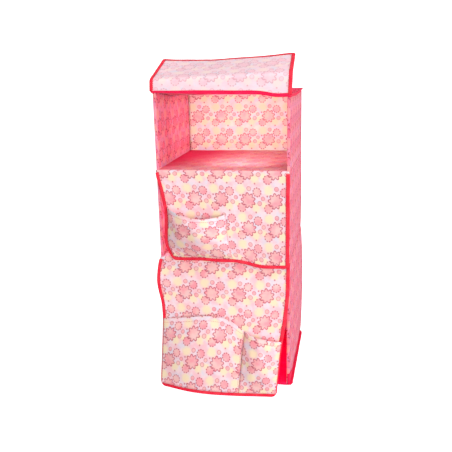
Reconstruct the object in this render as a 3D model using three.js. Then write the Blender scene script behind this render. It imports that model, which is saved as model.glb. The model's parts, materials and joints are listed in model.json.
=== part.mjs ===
// A three-tier fabric organiser box with lift-up front flaps and two hanging straps.
// Millimetres, +Z up, +X to the right of someone facing it, front towards -Y.
// The origin is the middle of the base's underside.
import * as THREE from 'three';

// Driving dimensions of the box.
const WIDTH = 300;
const DEPTH = 300;
const LOWER_SHELF_TOP = 310;
const UPPER_SHELF_TOP = 513;
const ROOF_TOP = 673;
const CLOTH = 1.0; // a sewn cloth skin
const BOARD = 3.0; // the stiffening board between two skins
const GAP = 0.3; // between pieces that lie against each other

// Edge tapes.
const TAPE_FLANGE = 7; // how far the rim tapes stand out of the walls
const TAPE_HEIGHT = 3.6;
const TAPE_LIFT = 0.8; // the base tape clears the floor by this much
const CORNER_TAPE_LEG = 7;
const ROOF_BAND_HEIGHT = 7;

// Flaps: one thickness of cloth, with a folded tape round three edges.
const FLAP_CLOTH = 1.2;
const TAPE_INSET = 9; // how far the folded tape reaches in over the cloth
const TAPE_HALF = 1.6; // half the thickness of the folded tape
const TAPE_INNER_HALF = FLAP_CLOTH / 2 + GAP;
const TAPE_BEYOND = 0.9; // how far the tape's fold stands past the cloth's edge
const HINGE_START = 1.3; // cloth starts this far from its fold line

// The top flap is thrown up: a strip stands up from the hinge, and above a slanting
// fold line the rest leans back over the roof.
const TOP_PIVOT = { y: -154, z: 670 };
const TOP_LENGTH = 154;
const TOP_FOLD_Z = 716; // in the middle of the box
const TOP_FOLD_SLANT = THREE.MathUtils.degToRad(2);
const TOP_LEAN = THREE.MathUtils.degToRad(69);
const TOP_LEFT = -155;
const TOP_RIGHT = 152.5;

// The middle flap hangs from the upper shelf's front edge.
const MIDDLE_PIVOT = { y: -152.2, z: 508 };
const MIDDLE_LENGTH_LEFT = 201;
const MIDDLE_LENGTH_RIGHT = 213;
const MIDDLE_FORWARD = 5;
const MIDDLE_LEFT = -151;
const MIDDLE_RIGHT = 148.5;
const MIDDLE_PULL_IN = 17;
const MIDDLE_PULL_IN_BY = 0.45; // share of its length where the left edge is fully drawn in

// The bottom flap hangs from a fixed strip below the lower shelf and leans forward.
const BOTTOM_PIVOT = { y: -152.2, z: 286 };
const BOTTOM_LENGTH = 282;
const BOTTOM_LEFT = -149;
const BOTTOM_RIGHT = 150.5;
const BOTTOM_PULL_IN = 22;
const BOTTOM_FORWARD_LEFT = 46;
const BOTTOM_FORWARD_RIGHT = 68;

// Patch pockets.
const POCKET_OFFSET = 3.2; // from the flap's cloth to the pocket's cloth at its seams
const MIDDLE_POCKET_BULGE = 44;
const BOTTOM_POCKET_BULGE = 34;

// Hanging straps: a hooked webbing strap that closes on a short tab.
const STRAP_X = 70;
const STRAP_WIDTH = 30;
const STRAP_THICK = 1.6;
const STRAP_RADIUS = 18;
const STRAP_ARCH_HEIGHT = 55; // from the roof to the centre of the strap's arch
const STRAP_BACK_END = 0.5; // how far the back leg's end clears the roof
const STRAP_FRONT_END = 17; // height of the front leg's end over the roof
const TAB_HEIGHT = 32;
const PATCH_THICK = 1.2;
const PATCH_HEIGHT = 14;

const HALF_W = WIDTH / 2;
const HALF_D = DEPTH / 2;
const WALL = 2 * CLOTH + BOARD + 2 * GAP;
const INSIDE_W = HALF_W - CLOTH - GAP; // inner face of the outer skins, less a gap
const LINING_W = HALF_W - WALL; // inner face of the linings
const CLEAR_W = LINING_W - GAP; // half width of a panel between the linings

function finish(colour, roughness) {
  return new THREE.MeshStandardMaterial({ color: colour, roughness, metalness: 0 });
}

const floral = finish(0xf7c9c4, 0.85);
const crimson = finish(0xe6173f, 0.8);
const tapeRed = finish(0xee3344, 0.75);
const greyBoard = finish(0x9a9184, 0.95);
const webbing = finish(0xdd2244, 0.85);
const gripTape = finish(0xf2b8c0, 0.95);

const organiser = new THREE.Group();

function addMesh(name, geometry, material) {
  const mesh = new THREE.Mesh(geometry, material);
  mesh.name = name;
  organiser.add(mesh);
}

// A flat panel between two opposite corners.
function addSlab(name, material, low, high) {
  const [x0, y0, z0] = low;
  const [x1, y1, z1] = high;
  const geometry = new THREE.BoxGeometry(x1 - x0, y1 - y0, z1 - z0);
  geometry.translate((x0 + x1) / 2, (y0 + y1) / 2, (z0 + z1) / 2);
  addMesh(name, geometry, material);
}

// An outline of [a, b] points as a shape.
function outline(points) {
  return new THREE.Shape(points.map(([a, b]) => new THREE.Vector2(a, b)));
}

// A plan outline in X and Y, raised from z0 to z1.
function addPlan(name, material, shape, z0, z1) {
  const geometry = new THREE.ExtrudeGeometry(shape, { depth: z1 - z0, bevelEnabled: false });
  geometry.translate(0, 0, z0);
  addMesh(name, geometry, material);
}

// A side outline in Y and Z, carried across from x0 to x1.
function addAcross(name, material, shape, x0, x1, curveSegments = 12) {
  const options = { depth: x1 - x0, bevelEnabled: false, curveSegments };
  const geometry = new THREE.ExtrudeGeometry(shape, options);
  const turn = new THREE.Matrix4().makeBasis(
    new THREE.Vector3(0, 1, 0),
    new THREE.Vector3(0, 0, 1),
    new THREE.Vector3(1, 0, 0),
  );
  geometry.applyMatrix4(turn);
  geometry.translate(x0, 0, 0);
  addMesh(name, geometry, material);
}

// A closed body from points and triangles, with its faces turned outwards.
function closedBody(points, triangles) {
  const normal = new THREE.Vector3();
  let volume = 0;
  for (const [a, b, c] of triangles) {
    normal.crossVectors(points[b], points[c]);
    volume += points[a].dot(normal);
  }
  const turned = volume < 0 ? triangles.map(([a, b, c]) => [a, c, b]) : triangles;
  const geometry = new THREE.BufferGeometry();
  geometry.setAttribute('position', new THREE.Float32BufferAttribute(
    points.flatMap((p) => [p.x, p.y, p.z]), 3));
  geometry.setIndex(turned.flat());
  return geometry;
}

// The two unit directions and the outward normal of a surface at (u, v),
// measured over the given steps, or over what is left of them at an edge.
function surfaceFrame(surface, u, v, stepU = 1e-3, stepV = 1e-3) {
  const across = surface(Math.min(u + stepU, 1), v).sub(surface(Math.max(u - stepU, 0), v));
  const along = surface(u, Math.min(v + stepV, 1)).sub(surface(u, Math.max(v - stepV, 0)));
  across.normalize();
  along.normalize();
  const normal = new THREE.Vector3().crossVectors(along, across).normalize();
  return { across, along, normal };
}

// A thick sheet of cloth over a surface of (u, v), both 0 to 1.
function addSheet(name, material, surface, columns, rows) {
  const points = [];
  for (const side of [0.5, -0.5]) {
    for (let row = 0; row <= rows; row += 1) {
      for (let column = 0; column <= columns; column += 1) {
        const u = column / columns;
        const v = row / rows;
        const { normal } = surfaceFrame(surface, u, v);
        points.push(surface(u, v).addScaledVector(normal, side * FLAP_CLOTH));
      }
    }
  }
  const perRow = columns + 1;
  const perSide = perRow * (rows + 1);
  const triangles = [];
  const quad = (a, b, c, d) => triangles.push([a, b, c], [a, c, d]);
  for (let row = 0; row < rows; row += 1) {
    for (let column = 0; column < columns; column += 1) {
      const a = row * perRow + column;
      quad(a, a + 1, a + 1 + perRow, a + perRow);
      quad(perSide + a, perSide + a + perRow, perSide + a + 1 + perRow, perSide + a + 1);
    }
  }
  const rim = [];
  for (let column = 0; column < columns; column += 1) rim.push(column);
  for (let row = 0; row < rows; row += 1) rim.push(row * perRow + columns);
  for (let column = columns; column > 0; column -= 1) rim.push(rows * perRow + column);
  for (let row = rows; row > 0; row -= 1) rim.push(row * perRow);
  rim.forEach((a, index) => {
    const b = rim[(index + 1) % rim.length];
    quad(b, a, perSide + a, perSide + b);
  });
  addMesh(name, closedBody(points, triangles), material);
}

// A folded edge tape: a C section carried along stations on the edge of a surface.
// Each station is [u, v, inU, inV], where inU and inV say which way the cloth lies.
// The sheet under the tape has the given columns and rows, and the tape follows its facets.
function addFoldedTape(name, surface, stations, columns, rows) {
  const section = [
    [-TAPE_BEYOND, -TAPE_HALF], [TAPE_INSET, -TAPE_HALF],
    [TAPE_INSET, -TAPE_INNER_HALF], [-GAP, -TAPE_INNER_HALF],
    [-GAP, TAPE_INNER_HALF], [TAPE_INSET, TAPE_INNER_HALF],
    [TAPE_INSET, TAPE_HALF], [-TAPE_BEYOND, TAPE_HALF],
  ];
  const points = [];
  for (const [u, v, inU, inV] of stations) {
    const { across, along, normal } = surfaceFrame(surface, u, v, 1 / columns, 1 / rows);
    for (const [inward, out] of section) {
      points.push(surface(u, v)
        .addScaledVector(across, inU * inward)
        .addScaledVector(along, inV * inward)
        .addScaledVector(normal, out));
    }
  }
  const sides = section.length;
  const triangles = [];
  for (let station = 0; station < stations.length - 1; station += 1) {
    for (let side = 0; side < sides; side += 1) {
      const a = station * sides + side;
      const b = station * sides + ((side + 1) % sides);
      triangles.push([a, b, b + sides], [a, b + sides, a + sides]);
    }
  }
  const flat = section.map(([a, b]) => new THREE.Vector2(a, b));
  const last = (stations.length - 1) * sides;
  for (const [a, b, c] of THREE.ShapeUtils.triangulateShape(flat, [])) {
    triangles.push([c, b, a], [last + a, last + b, last + c]);
  }
  addMesh(name, closedBody(points, triangles), tapeRed);
}

// Stations for a tape down the left edge, along the free edge and up the right edge.
function threeEdges(columns, rows) {
  const stations = [];
  for (let row = 0; row < rows; row += 1) stations.push([0, row / rows, 1, 0]);
  stations.push([0, 1, 1, -1]);
  for (let column = 1; column < columns; column += 1) {
    stations.push([column / columns, 1, 0, -1]);
  }
  stations.push([1, 1, -1, -1]);
  for (let row = rows - 1; row >= 0; row -= 1) stations.push([1, row / rows, -1, 0]);
  return stations;
}

const mix = THREE.MathUtils.lerp;
const ease = (value) => THREE.MathUtils.smoothstep(value, 0, 1);

// ---- Box: skins, boards and linings ----

const returnEdge = -HALF_D + CLOTH; // the side skins turn round the walls' front edges

function addSideWall(side, sign) {
  const skin = outline([
    [sign * HALF_W, -HALF_D], [sign * HALF_W, HALF_D],
    [sign * (HALF_W - CLOTH), HALF_D], [sign * (HALF_W - CLOTH), returnEdge],
    [sign * LINING_W, returnEdge], [sign * LINING_W, -HALF_D],
  ]);
  addPlan(`skin_${side}`, floral, skin, 0, ROOF_TOP);
  const faces = [sign * LINING_W, sign * (LINING_W + CLOTH)].sort((a, b) => a - b);
  addSlab(`lining_${side}`, floral,
    [faces[0], returnEdge + GAP, WALL + GAP],
    [faces[1], HALF_D - WALL + CLOTH, ROOF_TOP - WALL - GAP]);
}

const tiers = [
  ['bottom', WALL + GAP, LOWER_SHELF_TOP - WALL - GAP],
  ['middle', LOWER_SHELF_TOP + GAP, UPPER_SHELF_TOP - WALL - GAP],
  ['top', UPPER_SHELF_TOP + GAP, ROOF_TOP - WALL - GAP],
];

function addBoards([tier, z0, z1]) {
  const inner = LINING_W + CLOTH + GAP;
  const front = returnEdge + GAP;
  const back = HALF_D - WALL + CLOTH;
  addSlab(`board_left_${tier}`, greyBoard, [-inner - BOARD, front, z0], [-inner, back, z1]);
  addSlab(`board_right_${tier}`, greyBoard, [inner, front, z0], [inner + BOARD, back, z1]);
  addSlab(`board_back_${tier}`, greyBoard, [-INSIDE_W, inner, z0], [INSIDE_W, inner + BOARD, z1]);
}

addSideWall('left', -1);
addSideWall('right', 1);
addSlab('skin_back', floral, [-INSIDE_W, HALF_D - CLOTH, 0], [INSIDE_W, HALF_D, ROOF_TOP]);
addSlab('lining_back', floral,
  [-CLEAR_W, HALF_D - WALL, WALL + GAP],
  [CLEAR_W, HALF_D - WALL + CLOTH, ROOF_TOP - WALL - GAP]);
tiers.forEach(addBoards);

// ---- Roof, shelves and base: cloth, board, cloth ----

function addLayer(name, material, halfWidth, back, z0, z1) {
  addSlab(name, material, [-halfWidth, returnEdge + GAP, z0], [halfWidth, back, z1]);
}

// The upper cloth turns down over the front edge.
function addTurnedCloth(name, material, back, bottom, top) {
  const side = outline([
    [-HALF_D, bottom], [returnEdge, bottom], [returnEdge, top - CLOTH],
    [back, top - CLOTH], [back, top], [-HALF_D, top],
  ]);
  addAcross(name, material, side, -CLEAR_W, CLEAR_W);
}

function addShelf(level, top) {
  const back = HALF_D - WALL - GAP;
  const bottom = top - WALL;
  addTurnedCloth(`shelf_${level}_top_cloth`, floral, back, bottom, top);
  addLayer(`shelf_${level}_board`, greyBoard, CLEAR_W, back, bottom + CLOTH + GAP, top - CLOTH - GAP);
  addLayer(`shelf_${level}_under_cloth`, floral, CLEAR_W, back, bottom, bottom + CLOTH);
}

addShelf('lower', LOWER_SHELF_TOP);
addShelf('upper', UPPER_SHELF_TOP);

const insideBack = HALF_D - CLOTH - GAP;
addLayer('roof_skin', crimson, INSIDE_W, insideBack, ROOF_TOP - CLOTH, ROOF_TOP);
addLayer('roof_board', greyBoard, INSIDE_W, insideBack,
  ROOF_TOP - CLOTH - GAP - BOARD, ROOF_TOP - CLOTH - GAP);
addLayer('roof_lining', floral, INSIDE_W, insideBack, ROOF_TOP - WALL, ROOF_TOP - WALL + CLOTH);
addLayer('base_skin', crimson, INSIDE_W, insideBack, 0, CLOTH);
addLayer('base_board', greyBoard, INSIDE_W, insideBack, CLOTH + GAP, CLOTH + GAP + BOARD);
addTurnedCloth('base_lining', crimson, insideBack, 0, WALL);

// ---- Edge tapes of the box ----

// A flat tape round the left, back and right edges, open at the front.
function addRimTape(name, z0) {
  const inner = HALF_W + GAP;
  const outer = HALF_W + TAPE_FLANGE;
  const backInner = HALF_D + GAP;
  const backOuter = HALF_D + TAPE_FLANGE;
  const rim = outline([
    [-outer, -HALF_D], [-inner, -HALF_D], [-inner, backInner], [inner, backInner],
    [inner, -HALF_D], [outer, -HALF_D], [outer, backOuter], [-outer, backOuter],
  ]);
  addPlan(name, crimson, rim, z0, z0 + TAPE_HEIGHT);
}

// An upright tape folded round a back corner.
function addCornerTape(side, sign) {
  const near = HALF_W + GAP;
  const far = near + CLOTH;
  const start = near - CORNER_TAPE_LEG;
  const corner = outline([
    [sign * near, start], [sign * far, start], [sign * far, far],
    [sign * start, far], [sign * start, near], [sign * near, near],
  ]);
  addPlan(`corner_tape_${side}`, tapeRed, corner,
    TAPE_LIFT + TAPE_HEIGHT + GAP, ROOF_TOP - TAPE_HEIGHT - GAP);
}

addRimTape('base_rim_tape', TAPE_LIFT);
addRimTape('roof_rim_tape', ROOF_TOP - TAPE_HEIGHT);
addCornerTape('left', -1);
addCornerTape('right', 1);
addSlab('roof_front_tape', crimson,
  [-HALF_W, -HALF_D - GAP - CLOTH, ROOF_TOP - ROOF_BAND_HEIGHT],
  [HALF_W, -HALF_D - GAP, ROOF_TOP]);

// ---- Top flap: a strip that stands up and a leaf that leans back ----

const topFold = new THREE.Vector3(0, TOP_PIVOT.y, TOP_FOLD_Z);
const topFoldAxis = new THREE.Vector3(-Math.cos(TOP_FOLD_SLANT), 0, -Math.sin(TOP_FOLD_SLANT));

function foldZ(x) {
  return TOP_FOLD_Z + x * Math.tan(TOP_FOLD_SLANT);
}

function topStrip(u, v) {
  const x = mix(TOP_LEFT, TOP_RIGHT, u);
  return new THREE.Vector3(x, TOP_PIVOT.y, mix(TOP_PIVOT.z + HINGE_START, foldZ(x) - HINGE_START, v));
}

function topLeaf(u, v) {
  const x = mix(TOP_LEFT, TOP_RIGHT, u);
  const z = mix(foldZ(x) + HINGE_START, TOP_PIVOT.z + TOP_LENGTH, v);
  return new THREE.Vector3(x, TOP_PIVOT.y, z)
    .sub(topFold).applyAxisAngle(topFoldAxis, TOP_LEAN).add(topFold);
}

addSheet('flap_top_strip', floral, topStrip, 1, 1);
addSheet('flap_top_leaf', floral, topLeaf, 1, 1);
addFoldedTape('flap_top_strip_tape_left', topStrip, [[0, 0, 1, 0], [0, 1, 1, 0]], 1, 1);
addFoldedTape('flap_top_strip_tape_right', topStrip, [[1, 0, -1, 0], [1, 1, -1, 0]], 1, 1);
addFoldedTape('flap_top_leaf_tape', topLeaf, threeEdges(1, 1), 1, 1);

// ---- Middle flap with one patch pocket ----

function middleFlap(u, v) {
  const left = MIDDLE_LEFT + MIDDLE_PULL_IN * ease(v / MIDDLE_PULL_IN_BY);
  const length = mix(MIDDLE_LENGTH_LEFT, MIDDLE_LENGTH_RIGHT, u);
  return new THREE.Vector3(
    mix(left, MIDDLE_RIGHT, u),
    MIDDLE_PIVOT.y - MIDDLE_FORWARD * v,
    MIDDLE_PIVOT.z - HINGE_START - (length - HINGE_START) * v,
  );
}

// A pocket surface bulging out of a flap between uLeft and uRight,
// from its mouth, whose place follows across, down to its bottom seam.
function pocketOn(flap, { uLeft, uRight, mouth, bottom, bulge }) {
  return (across, down) => {
    const u = mix(uLeft, uRight, across);
    const v = mix(mouth(across), bottom, down);
    const width = Math.pow(Math.sin(Math.PI * across), 0.8);
    const depth = Math.sin(Math.PI * mix(0.35, 1, down));
    const { normal } = surfaceFrame(flap, u, v);
    return flap(u, v).addScaledVector(normal, POCKET_OFFSET + bulge * width * depth);
  };
}

const middlePocket = pocketOn(middleFlap, {
  uLeft: 0.012,
  uRight: 0.52,
  mouth: (across) => 0.37 + 0.1 * ease(across / 0.5),
  bottom: 0.955,
  bulge: MIDDLE_POCKET_BULGE,
});

addSheet('flap_middle_panel', floral, middleFlap, 4, 12);
addFoldedTape('flap_middle_tape', middleFlap, threeEdges(4, 12), 4, 12);
addSheet('flap_middle_pocket', floral, middlePocket, 14, 10);

// ---- Bottom flap with two patch pockets ----

function bottomFlap(u, v) {
  const right = BOTTOM_RIGHT - BOTTOM_PULL_IN * ease((v - 0.2) / 0.8);
  const forward = mix(BOTTOM_FORWARD_LEFT, BOTTOM_FORWARD_RIGHT, ease(u / 0.6));
  return new THREE.Vector3(
    mix(BOTTOM_LEFT, right, u),
    BOTTOM_PIVOT.y - forward * v,
    BOTTOM_PIVOT.z - HINGE_START - (BOTTOM_LENGTH - HINGE_START) * v,
  );
}

const DIVIDING_SEAM = 0.665; // share of the flap's width
const bottomMouth = (u) => 0.33 + 0.2 * ease((u - 0.3) / 0.7);

function bottomPocket(uLeft, uRight) {
  return pocketOn(bottomFlap, {
    uLeft,
    uRight,
    mouth: (across) => bottomMouth(mix(uLeft, uRight, across)),
    bottom: 0.985,
    bulge: BOTTOM_POCKET_BULGE,
  });
}

addSlab('flap_bottom_hinge_strip', floral,
  [BOTTOM_LEFT, -HALF_D - GAP - FLAP_CLOTH, BOTTOM_PIVOT.z + HINGE_START],
  [BOTTOM_RIGHT, -HALF_D - GAP, LOWER_SHELF_TOP - GAP]);
addSheet('flap_bottom_panel', floral, bottomFlap, 8, 14);
addFoldedTape('flap_bottom_tape', bottomFlap, threeEdges(8, 14), 8, 14);
addSheet('flap_bottom_pocket_left', floral, bottomPocket(0.004, DIVIDING_SEAM - 0.004), 16, 10);
addSheet('flap_bottom_pocket_right', floral, bottomPocket(DIVIDING_SEAM + 0.004, 0.996), 12, 10);

// ---- Hanging straps ----

// The strap's hook: up from the roof at the back, over an arch, down at the front.
function strapOutline() {
  const inner = STRAP_RADIUS - STRAP_THICK / 2;
  const outer = STRAP_RADIUS + STRAP_THICK / 2;
  const archZ = ROOF_TOP + STRAP_ARCH_HEIGHT;
  const shape = new THREE.Shape();
  shape.moveTo(outer, ROOF_TOP + STRAP_BACK_END);
  shape.lineTo(outer, archZ);
  shape.absarc(0, archZ, outer, 0, Math.PI, false);
  shape.lineTo(-outer, ROOF_TOP + STRAP_FRONT_END);
  shape.lineTo(-inner, ROOF_TOP + STRAP_FRONT_END);
  shape.lineTo(-inner, archZ);
  shape.absarc(0, archZ, inner, Math.PI, 0, true);
  shape.lineTo(inner, ROOF_TOP + STRAP_BACK_END);
  shape.closePath();
  return shape;
}

function addStrap(side, x) {
  const x0 = x - STRAP_WIDTH / 2;
  const x1 = x + STRAP_WIDTH / 2;
  addAcross(`strap_${side}`, webbing, strapOutline(), x0, x1, 10);
  // Outwards from the front leg: its loop patch, the tab's hook patch, the tab.
  let face = -STRAP_RADIUS - STRAP_THICK / 2;
  const layers = [
    [`strap_${side}_loop_patch`, gripTape, PATCH_THICK, STRAP_FRONT_END, PATCH_HEIGHT],
    [`strap_${side}_hook_patch`, gripTape, PATCH_THICK, STRAP_FRONT_END, PATCH_HEIGHT],
    [`strap_${side}_tab`, webbing, STRAP_THICK, GAP, TAB_HEIGHT],
  ];
  for (const [name, material, thick, lift, height] of layers) {
    addSlab(name, material,
      [x0, face - GAP - thick, ROOF_TOP + lift],
      [x1, face - GAP, ROOF_TOP + lift + height]);
    face -= GAP + thick;
  }
}

addStrap('left', -STRAP_X);
addStrap('right', STRAP_X);

export default organiser;
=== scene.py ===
"""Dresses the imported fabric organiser: cloth walls, shelves, flaps, pockets, tapes and straps."""

import json
import math

import bmesh
import bpy
from bpy.props import FloatProperty, FloatVectorProperty, PointerProperty
from mathutils import Matrix, Vector, noise


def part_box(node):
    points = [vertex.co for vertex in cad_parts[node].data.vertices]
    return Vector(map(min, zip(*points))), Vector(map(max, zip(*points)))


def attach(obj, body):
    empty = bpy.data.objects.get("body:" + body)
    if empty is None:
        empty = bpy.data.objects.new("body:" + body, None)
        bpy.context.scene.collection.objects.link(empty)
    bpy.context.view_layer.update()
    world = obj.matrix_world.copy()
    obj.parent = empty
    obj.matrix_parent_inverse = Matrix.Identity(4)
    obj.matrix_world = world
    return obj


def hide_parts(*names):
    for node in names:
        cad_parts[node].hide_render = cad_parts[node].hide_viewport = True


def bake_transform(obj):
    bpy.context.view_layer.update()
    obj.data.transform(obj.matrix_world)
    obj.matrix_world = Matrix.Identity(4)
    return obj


bl_info = {
    "name": "Fabric Organiser",
    "version": (1, 0, 0),
    "blender": (4, 5, 0),
    "location": "3D View > Sidebar > Organiser",
    "description": "Makes the cloth of a three-tier fabric organiser round its CAD frame",
    "category": "Add Mesh",
}

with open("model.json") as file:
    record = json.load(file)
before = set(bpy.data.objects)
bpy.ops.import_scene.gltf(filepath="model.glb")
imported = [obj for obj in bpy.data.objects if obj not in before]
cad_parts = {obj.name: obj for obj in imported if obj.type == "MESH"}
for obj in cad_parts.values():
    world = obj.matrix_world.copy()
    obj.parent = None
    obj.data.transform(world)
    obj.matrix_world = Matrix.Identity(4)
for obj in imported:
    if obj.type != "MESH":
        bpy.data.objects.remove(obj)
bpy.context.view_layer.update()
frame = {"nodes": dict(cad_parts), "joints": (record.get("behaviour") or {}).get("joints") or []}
NODES = frame["nodes"]
JOINTS = {joint["name"]: Vector(joint["pos_m"]) for joint in frame["joints"]}
JOINT_AXES = {joint["name"]: Vector(joint["axis"]) for joint in frame["joints"]}

MM = 0.001
TAU = math.tau

# Places of the frame, in metres.
HALF_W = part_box("skin_right")[1].x
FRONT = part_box("skin_right")[0].y
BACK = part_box("skin_back")[1].y
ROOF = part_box("roof_skin")[1].z
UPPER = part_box("shelf_upper_top_cloth")[1].z
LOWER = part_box("shelf_lower_top_cloth")[1].z
WALL = HALF_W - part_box("lining_right")[0].x
SHELF_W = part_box("shelf_upper_top_cloth")[1].x
DEPTH = BACK - FRONT
TIERS = ((0.0, LOWER), (LOWER, UPPER), (UPPER, ROOF))

# How the flaps hang.
MIDDLE_HEM_LEFT = 305 * MM
MIDDLE_HEM_RIGHT = 293.5 * MM
BOTTOM_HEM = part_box("flap_bottom_panel")[0].z
TOP_WIDTH = 306 * MM
TOP_LENGTH = 154 * MM
TOP_LEAN = math.radians(69)
TAPE_INSET = 6.5 * MM

# How the cloth is laid and sewn.
HALF_CLOTH = 0.4 * MM
EDGE_TURN = 1.6 * MM
SEAM_INSET = 7 * MM
SEAM_LIFT = 1.8 * MM
STITCH_GAP = 0.9 * MM


# ---------------------------------------------------------------- settings


def size(name, description, default):
    """A length setting, with its default in metres."""
    return FloatProperty(name=name, description=description, default=default, unit="LENGTH")


def screen_colour(name, description, default):
    """A colour setting, with its default as it shows on a screen."""
    return FloatVectorProperty(
        name=name, description=description, subtype="COLOR_GAMMA", default=default,
    )


class OrganiserCloth(bpy.types.PropertyGroup):
    """Sizes of the cloth, its print and its sewing."""

    thickness: size("Cloth", "Thickness of one layer of cloth", 0.8 * MM)
    tape_thickness: size("Tape", "Thickness of the edge tape", 0.6 * MM)
    print_width: size("Print width", "Width of one repeat of the print", 62 * MM)
    print_height: size("Print height", "Height of one repeat of the print", 60 * MM)
    stitch: size("Stitch", "Length of one stitch", 3.2 * MM)
    ripple: size("Ripple", "Height of the ripples in the cloth", 1.2 * MM)


class OrganiserColours(bpy.types.PropertyGroup):
    """Colours of the cloth, its print and the tapes, as they show on a screen."""

    ground: screen_colour("Ground", "Cloth under the print", (0.99, 0.91, 0.93))
    cool: screen_colour("Cool ground", "Pale patches of the ground", (0.93, 0.91, 0.95))
    blotch: screen_colour("Blotch", "Warm patches in the print", (1.0, 0.95, 0.78))
    halo: screen_colour("Halo", "Pink clouds of the ground", (1.0, 0.76, 0.79))
    petal: screen_colour("Petal", "Inside of the flowers", (1.0, 0.63, 0.67))
    line: screen_colour("Line", "Outlines of the flowers", (0.72, 0.07, 0.29))
    tape: screen_colour("Tape", "Folded edge tape", (0.90, 0.13, 0.24))
    crimson: screen_colour("Crimson", "Plain cloth of the base", (0.97, 0.02, 0.30))


def linear(colour):
    """A screen colour as the linear colour that shaders take."""
    return tuple((c / 12.92 if c <= 0.04045 else ((c + 0.055) / 1.055) ** 2.4) for c in colour)


def cloth_settings():
    return bpy.context.scene.organiser_cloth


def colours():
    return bpy.context.scene.organiser_colours


# ---------------------------------------------------------------- shader maths


class Wire:
    """A shader socket whose maths is written with the usual operators."""

    def __init__(self, socket):
        self.socket = socket

    def node(self, kind, settings=None, inputs=None, output=0):
        """A node of that kind: its settings first, then the values or wires of its sockets."""
        tree = self.socket.id_data
        made = tree.nodes.new(kind)
        for name, value in (settings or {}).items():
            if name == "stops":
                for element, (place, colour) in zip(made.color_ramp.elements, value):
                    element.position = place
                    element.color = colour
            else:
                setattr(made, name, value)
        for name, value in (inputs or {}).items():
            if isinstance(value, Wire):
                tree.links.new(value.socket, made.inputs[name])
            elif value is not None:
                made.inputs[name].default_value = value
        return Wire(made.outputs[output])

    def math(self, operation, second=None, third=None, clamp=False):
        settings = {"operation": operation, "use_clamp": clamp}
        return self.node("ShaderNodeMath", settings, {0: self, 1: second, 2: third})

    def vector(self, operation, second=None, third=None, output=0):
        inputs = {0: self, 1: second, 2: third}
        return self.node("ShaderNodeVectorMath", {"operation": operation}, inputs, output)

    def __add__(self, other):
        return self.math("ADD", other)

    def __sub__(self, other):
        return self.math("SUBTRACT", other)

    def __mul__(self, other):
        return self.math("MULTIPLY", other)

    def __rsub__(self, other):
        return self.node("ShaderNodeMath", {"operation": "SUBTRACT"}, {0: other, 1: self})

    __radd__ = __add__
    __rmul__ = __mul__

    def part(self, index):
        """X, Y or Z of a vector."""
        return self.node("ShaderNodeSeparateXYZ", None, {0: self}, index)

    def below(self, edge, blur):
        """1 where this is well below edge, 0 where it is above, with a soft step between."""
        return self.math("MULTIPLY_ADD", -1 / blur, edge / blur + 0.5, clamp=True)


def colour_over(start, colour, other, factor, blend="MIX"):
    """A colour laid over another one where factor is 1. Each is a fixed colour or a wire."""
    wet = (*colour, 1) if isinstance(colour, tuple) else colour
    dry = (*other, 1) if isinstance(other, tuple) else other
    # A Mix node has sockets of each type under one name, so they are found by number.
    numbered = {0: factor, 6: dry, 7: wet}
    return start.node("ShaderNodeMix", {"data_type": "RGBA", "blend_type": blend}, numbered, 2)


def new_material(name, roughness, specular=0.25, sheen=0.0):
    """A material and its Principled shader."""
    material = bpy.data.materials.new(name)
    material.use_nodes = True
    shader = material.node_tree.nodes["Principled BSDF"]
    shader.inputs["Roughness"].default_value = roughness
    shader.inputs["Specular IOR Level"].default_value = specular
    shader.inputs["Sheen Weight"].default_value = sheen
    shader.inputs["Sheen Roughness"].default_value = 0.5
    return material, shader


def let_light_through(material, colour, share):
    """Mixes in some light that passes through the cloth, tinted by its colour."""
    tree = material.node_tree
    output = tree.nodes["Material Output"]
    shader = tree.nodes["Principled BSDF"]
    through_cloth = tree.nodes.new("ShaderNodeBsdfTranslucent")
    through_cloth.inputs["Color"].default_value = (*colour, 1)
    both = tree.nodes.new("ShaderNodeMixShader")
    both.inputs[0].default_value = share
    tree.links.new(shader.outputs[0], both.inputs[1])
    tree.links.new(through_cloth.outputs[0], both.inputs[2])
    tree.links.new(both.outputs[0], output.inputs["Surface"])


def uv_in_mm(material):
    uv = material.node_tree.nodes.new("ShaderNodeUVMap")
    uv.uv_map = "UVMap"
    return Wire(uv.outputs["UV"]).vector("MULTIPLY", (1000, 1000, 1000))


def object_in_mm(material):
    place = material.node_tree.nodes.new("ShaderNodeTexCoord")
    return Wire(place.outputs["Object"]).vector("MULTIPLY", (1000, 1000, 1000))


def feed(shader, name, wire):
    wire.socket.id_data.links.new(wire.socket, shader.inputs[name])


def dress(shader, colour, roughness, bump=None):
    """Feeds a shader its colour, its roughness as (wire, slope, base), and its relief as
    (height wire, strength, distance in metres)."""
    feed(shader, "Base Color", colour)
    wire, slope, base = roughness
    feed(shader, "Roughness", wire.math("MULTIPLY_ADD", slope, base))
    if bump:
        height, strength, distance = bump
        settings = {"Strength": strength, "Distance": distance, "Height": height}
        feed(shader, "Normal", height.node("ShaderNodeBump", None, settings))


def grain(place, scale, detail=3.0, roughness=0.55):
    """Noise over a place in millimetres, with features about 1 / scale millimetres across."""
    inputs = {"Vector": place, "Scale": scale, "Detail": detail, "Roughness": roughness}
    return place.node("ShaderNodeTexNoise", None, inputs)


# ---------------------------------------------------------------- print


def motif(place, centre, repeat):
    """Offset from the nearest copy of a motif, and the distance to it, in millimetres."""
    half = (repeat[0] / 2, repeat[1] / 2, 500)
    offset = place.vector("SUBTRACT", (centre[0], centre[1], 0))
    offset = offset.vector("WRAP", half, (-half[0], -half[1], -half[2]))
    return offset, offset.vector("LENGTH", output=1)


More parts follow.
